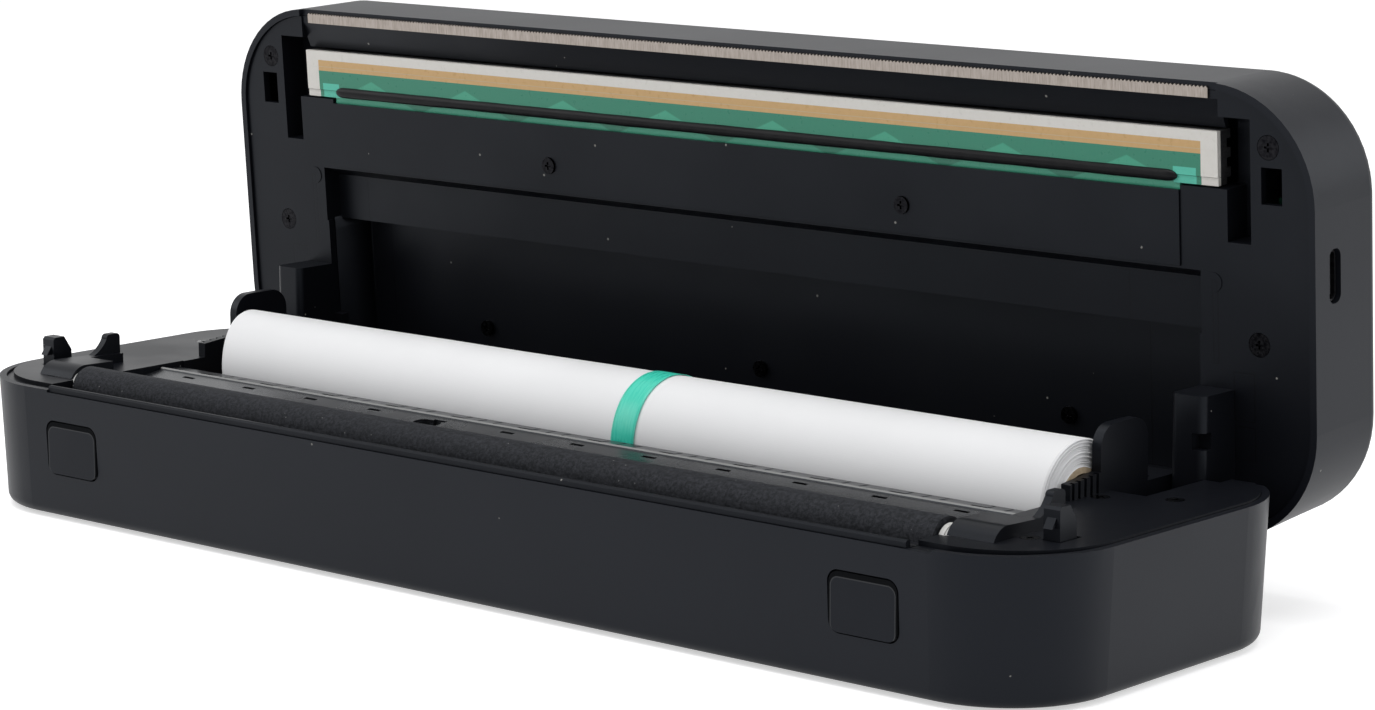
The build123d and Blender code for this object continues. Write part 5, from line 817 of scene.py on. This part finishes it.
def liner_surface(side, steps=12):
    """The L section, closed, carried up the lid; both ends are drawn together to a line."""
    bend = np.linspace(0, np.pi / 2, 7)
    middle_y = LINER_BACK - LINER_BEND_IN
    outer, inner = (
        np.stack([LINER_BEND_X + r * np.cos(bend), middle_y + r * np.sin(bend)], 1)
        for r in (LINER_BEND_IN + LINER_WALL, LINER_BEND_IN)
    )
    section = np.vstack([
        [(LINER_OUTER_X, LINER_FACE)], outer, [(LINER_INNER_X, LINER_BACK + LINER_WALL)],
        [(LINER_INNER_X, LINER_BACK)], inner[::-1], [(LINER_FACE_X, LINER_FACE)],
    ])
    up = np.concatenate([[LINER_SPAN[0]], np.linspace(*LINER_SPAN, steps), [LINER_SPAN[1]]])
    middle = (section + section[::-1]) / 2
    closed = np.concatenate([[0.0], np.ones(steps), [0.0]])[:, None, None]
    rows = middle + (section - middle) * closed
    return in_lid(side * rows[..., 0], up[:, None], rows[..., 1])


for side, label in ((1, "right"), (-1, "left")):
    points = liner_surface(side)
    liner = grid_piece(f"slot_liner_{label}", points if side > 0 else points[:, ::-1], close_second=True)
    dress(liner, deck_plastic, "lid", "inner_plastic")
print("liners", LINER_BACK - LINER_FACE, "mm deep")

# %% [markdown]
# ## Light and floor
# A white studio: a pale floor and a pale world all round, with three broad soft lights.
# The world is pure white to the camera and in reflections, but lights the printer with
# about half that, so that the black plastic keeps its shape and the paper doesn't bleach.
# Light Path tells the world which kind of ray asks. The floor does the same, so it fades
# into the background and still keeps a soft shadow.

# %% Floor, world and lights
def seen_directly(tree):
    """1 for rays from the camera, and for those seen in gloss or through glass."""
    path = node(tree, "LightPath").outputs
    either = sums(tree, "MAXIMUM", path["Is Camera Ray"], path["Is Glossy Ray"])
    return sums(tree, "MAXIMUM", either, path["Is Transmission Ray"])


def studio_floor(half=6.0):
    """A pale square floor that glows a little, but only for the rays that see it directly."""
    material, tree, shader = start_finish("floor_white", 0.9, specular=0.0)
    shader.inputs["Base Color"].default_value = colour(0.80, 0.80, 0.81)
    shader.inputs["Emission Color"].default_value = colour(1, 1, 1)
    tree.links.new(sums(tree, "MULTIPLY", seen_directly(tree), 0.55), shader.inputs["Emission Strength"])
    data = bpy.data.meshes.new("floor")
    corners = [(-half, -half, 0), (half, -half, 0), (half, half, 0), (-half, half, 0)]
    data.from_pydata(corners, [], [(0, 1, 2, 3)])
    floor = bpy.data.objects.new("floor", data)
    bpy.context.scene.collection.objects.link(floor)
    floor.data.materials.append(material)
    return floor


def white_world(strength):
    """A world that is pure white where it is seen, and lights with the given strength."""
    world = bpy.data.worlds.new("studio")
    bpy.context.scene.world = world
    world.use_nodes = True
    tree = world.node_tree
    background = tree.nodes["Background"]
    background.inputs["Color"].default_value = colour(1, 1, 1)
    level = spread(tree, seen_directly(tree), 0.0, 1.0, strength, 1.0)
    tree.links.new(level, background.inputs["Strength"])


def softbox(name, place, target, size, power):
    """A rectangular studio light at place, facing target."""
    data = bpy.data.lights.new(name, "AREA")
    data.shape, data.size, data.size_y, data.energy = "RECTANGLE", size[0], size[1], power
    light = bpy.data.objects.new(name, data)
    bpy.context.scene.collection.objects.link(light)
    light.location = place
    light.rotation_mode = "QUATERNION"
    light.rotation_quaternion = (Vector(target) - Vector(place)).to_track_quat("-Z", "Y")
    return light


studio_floor()
white_world(0.45)
softbox("top_light", (0.05, -0.25, 1.2), (0, 0, 0.03), (1.3, 0.7), 9)
softbox("left_light", (-1.1, -0.7, 0.7), (0, 0, 0.04), (0.8, 0.8), 4)
softbox("right_rear_light", (1.5, 1.2, 0.8), (0.1, 0, 0.05), (1.8, 1.2), 12)
bpy.context.scene.view_settings.view_transform = "Standard"
print("studio lit")
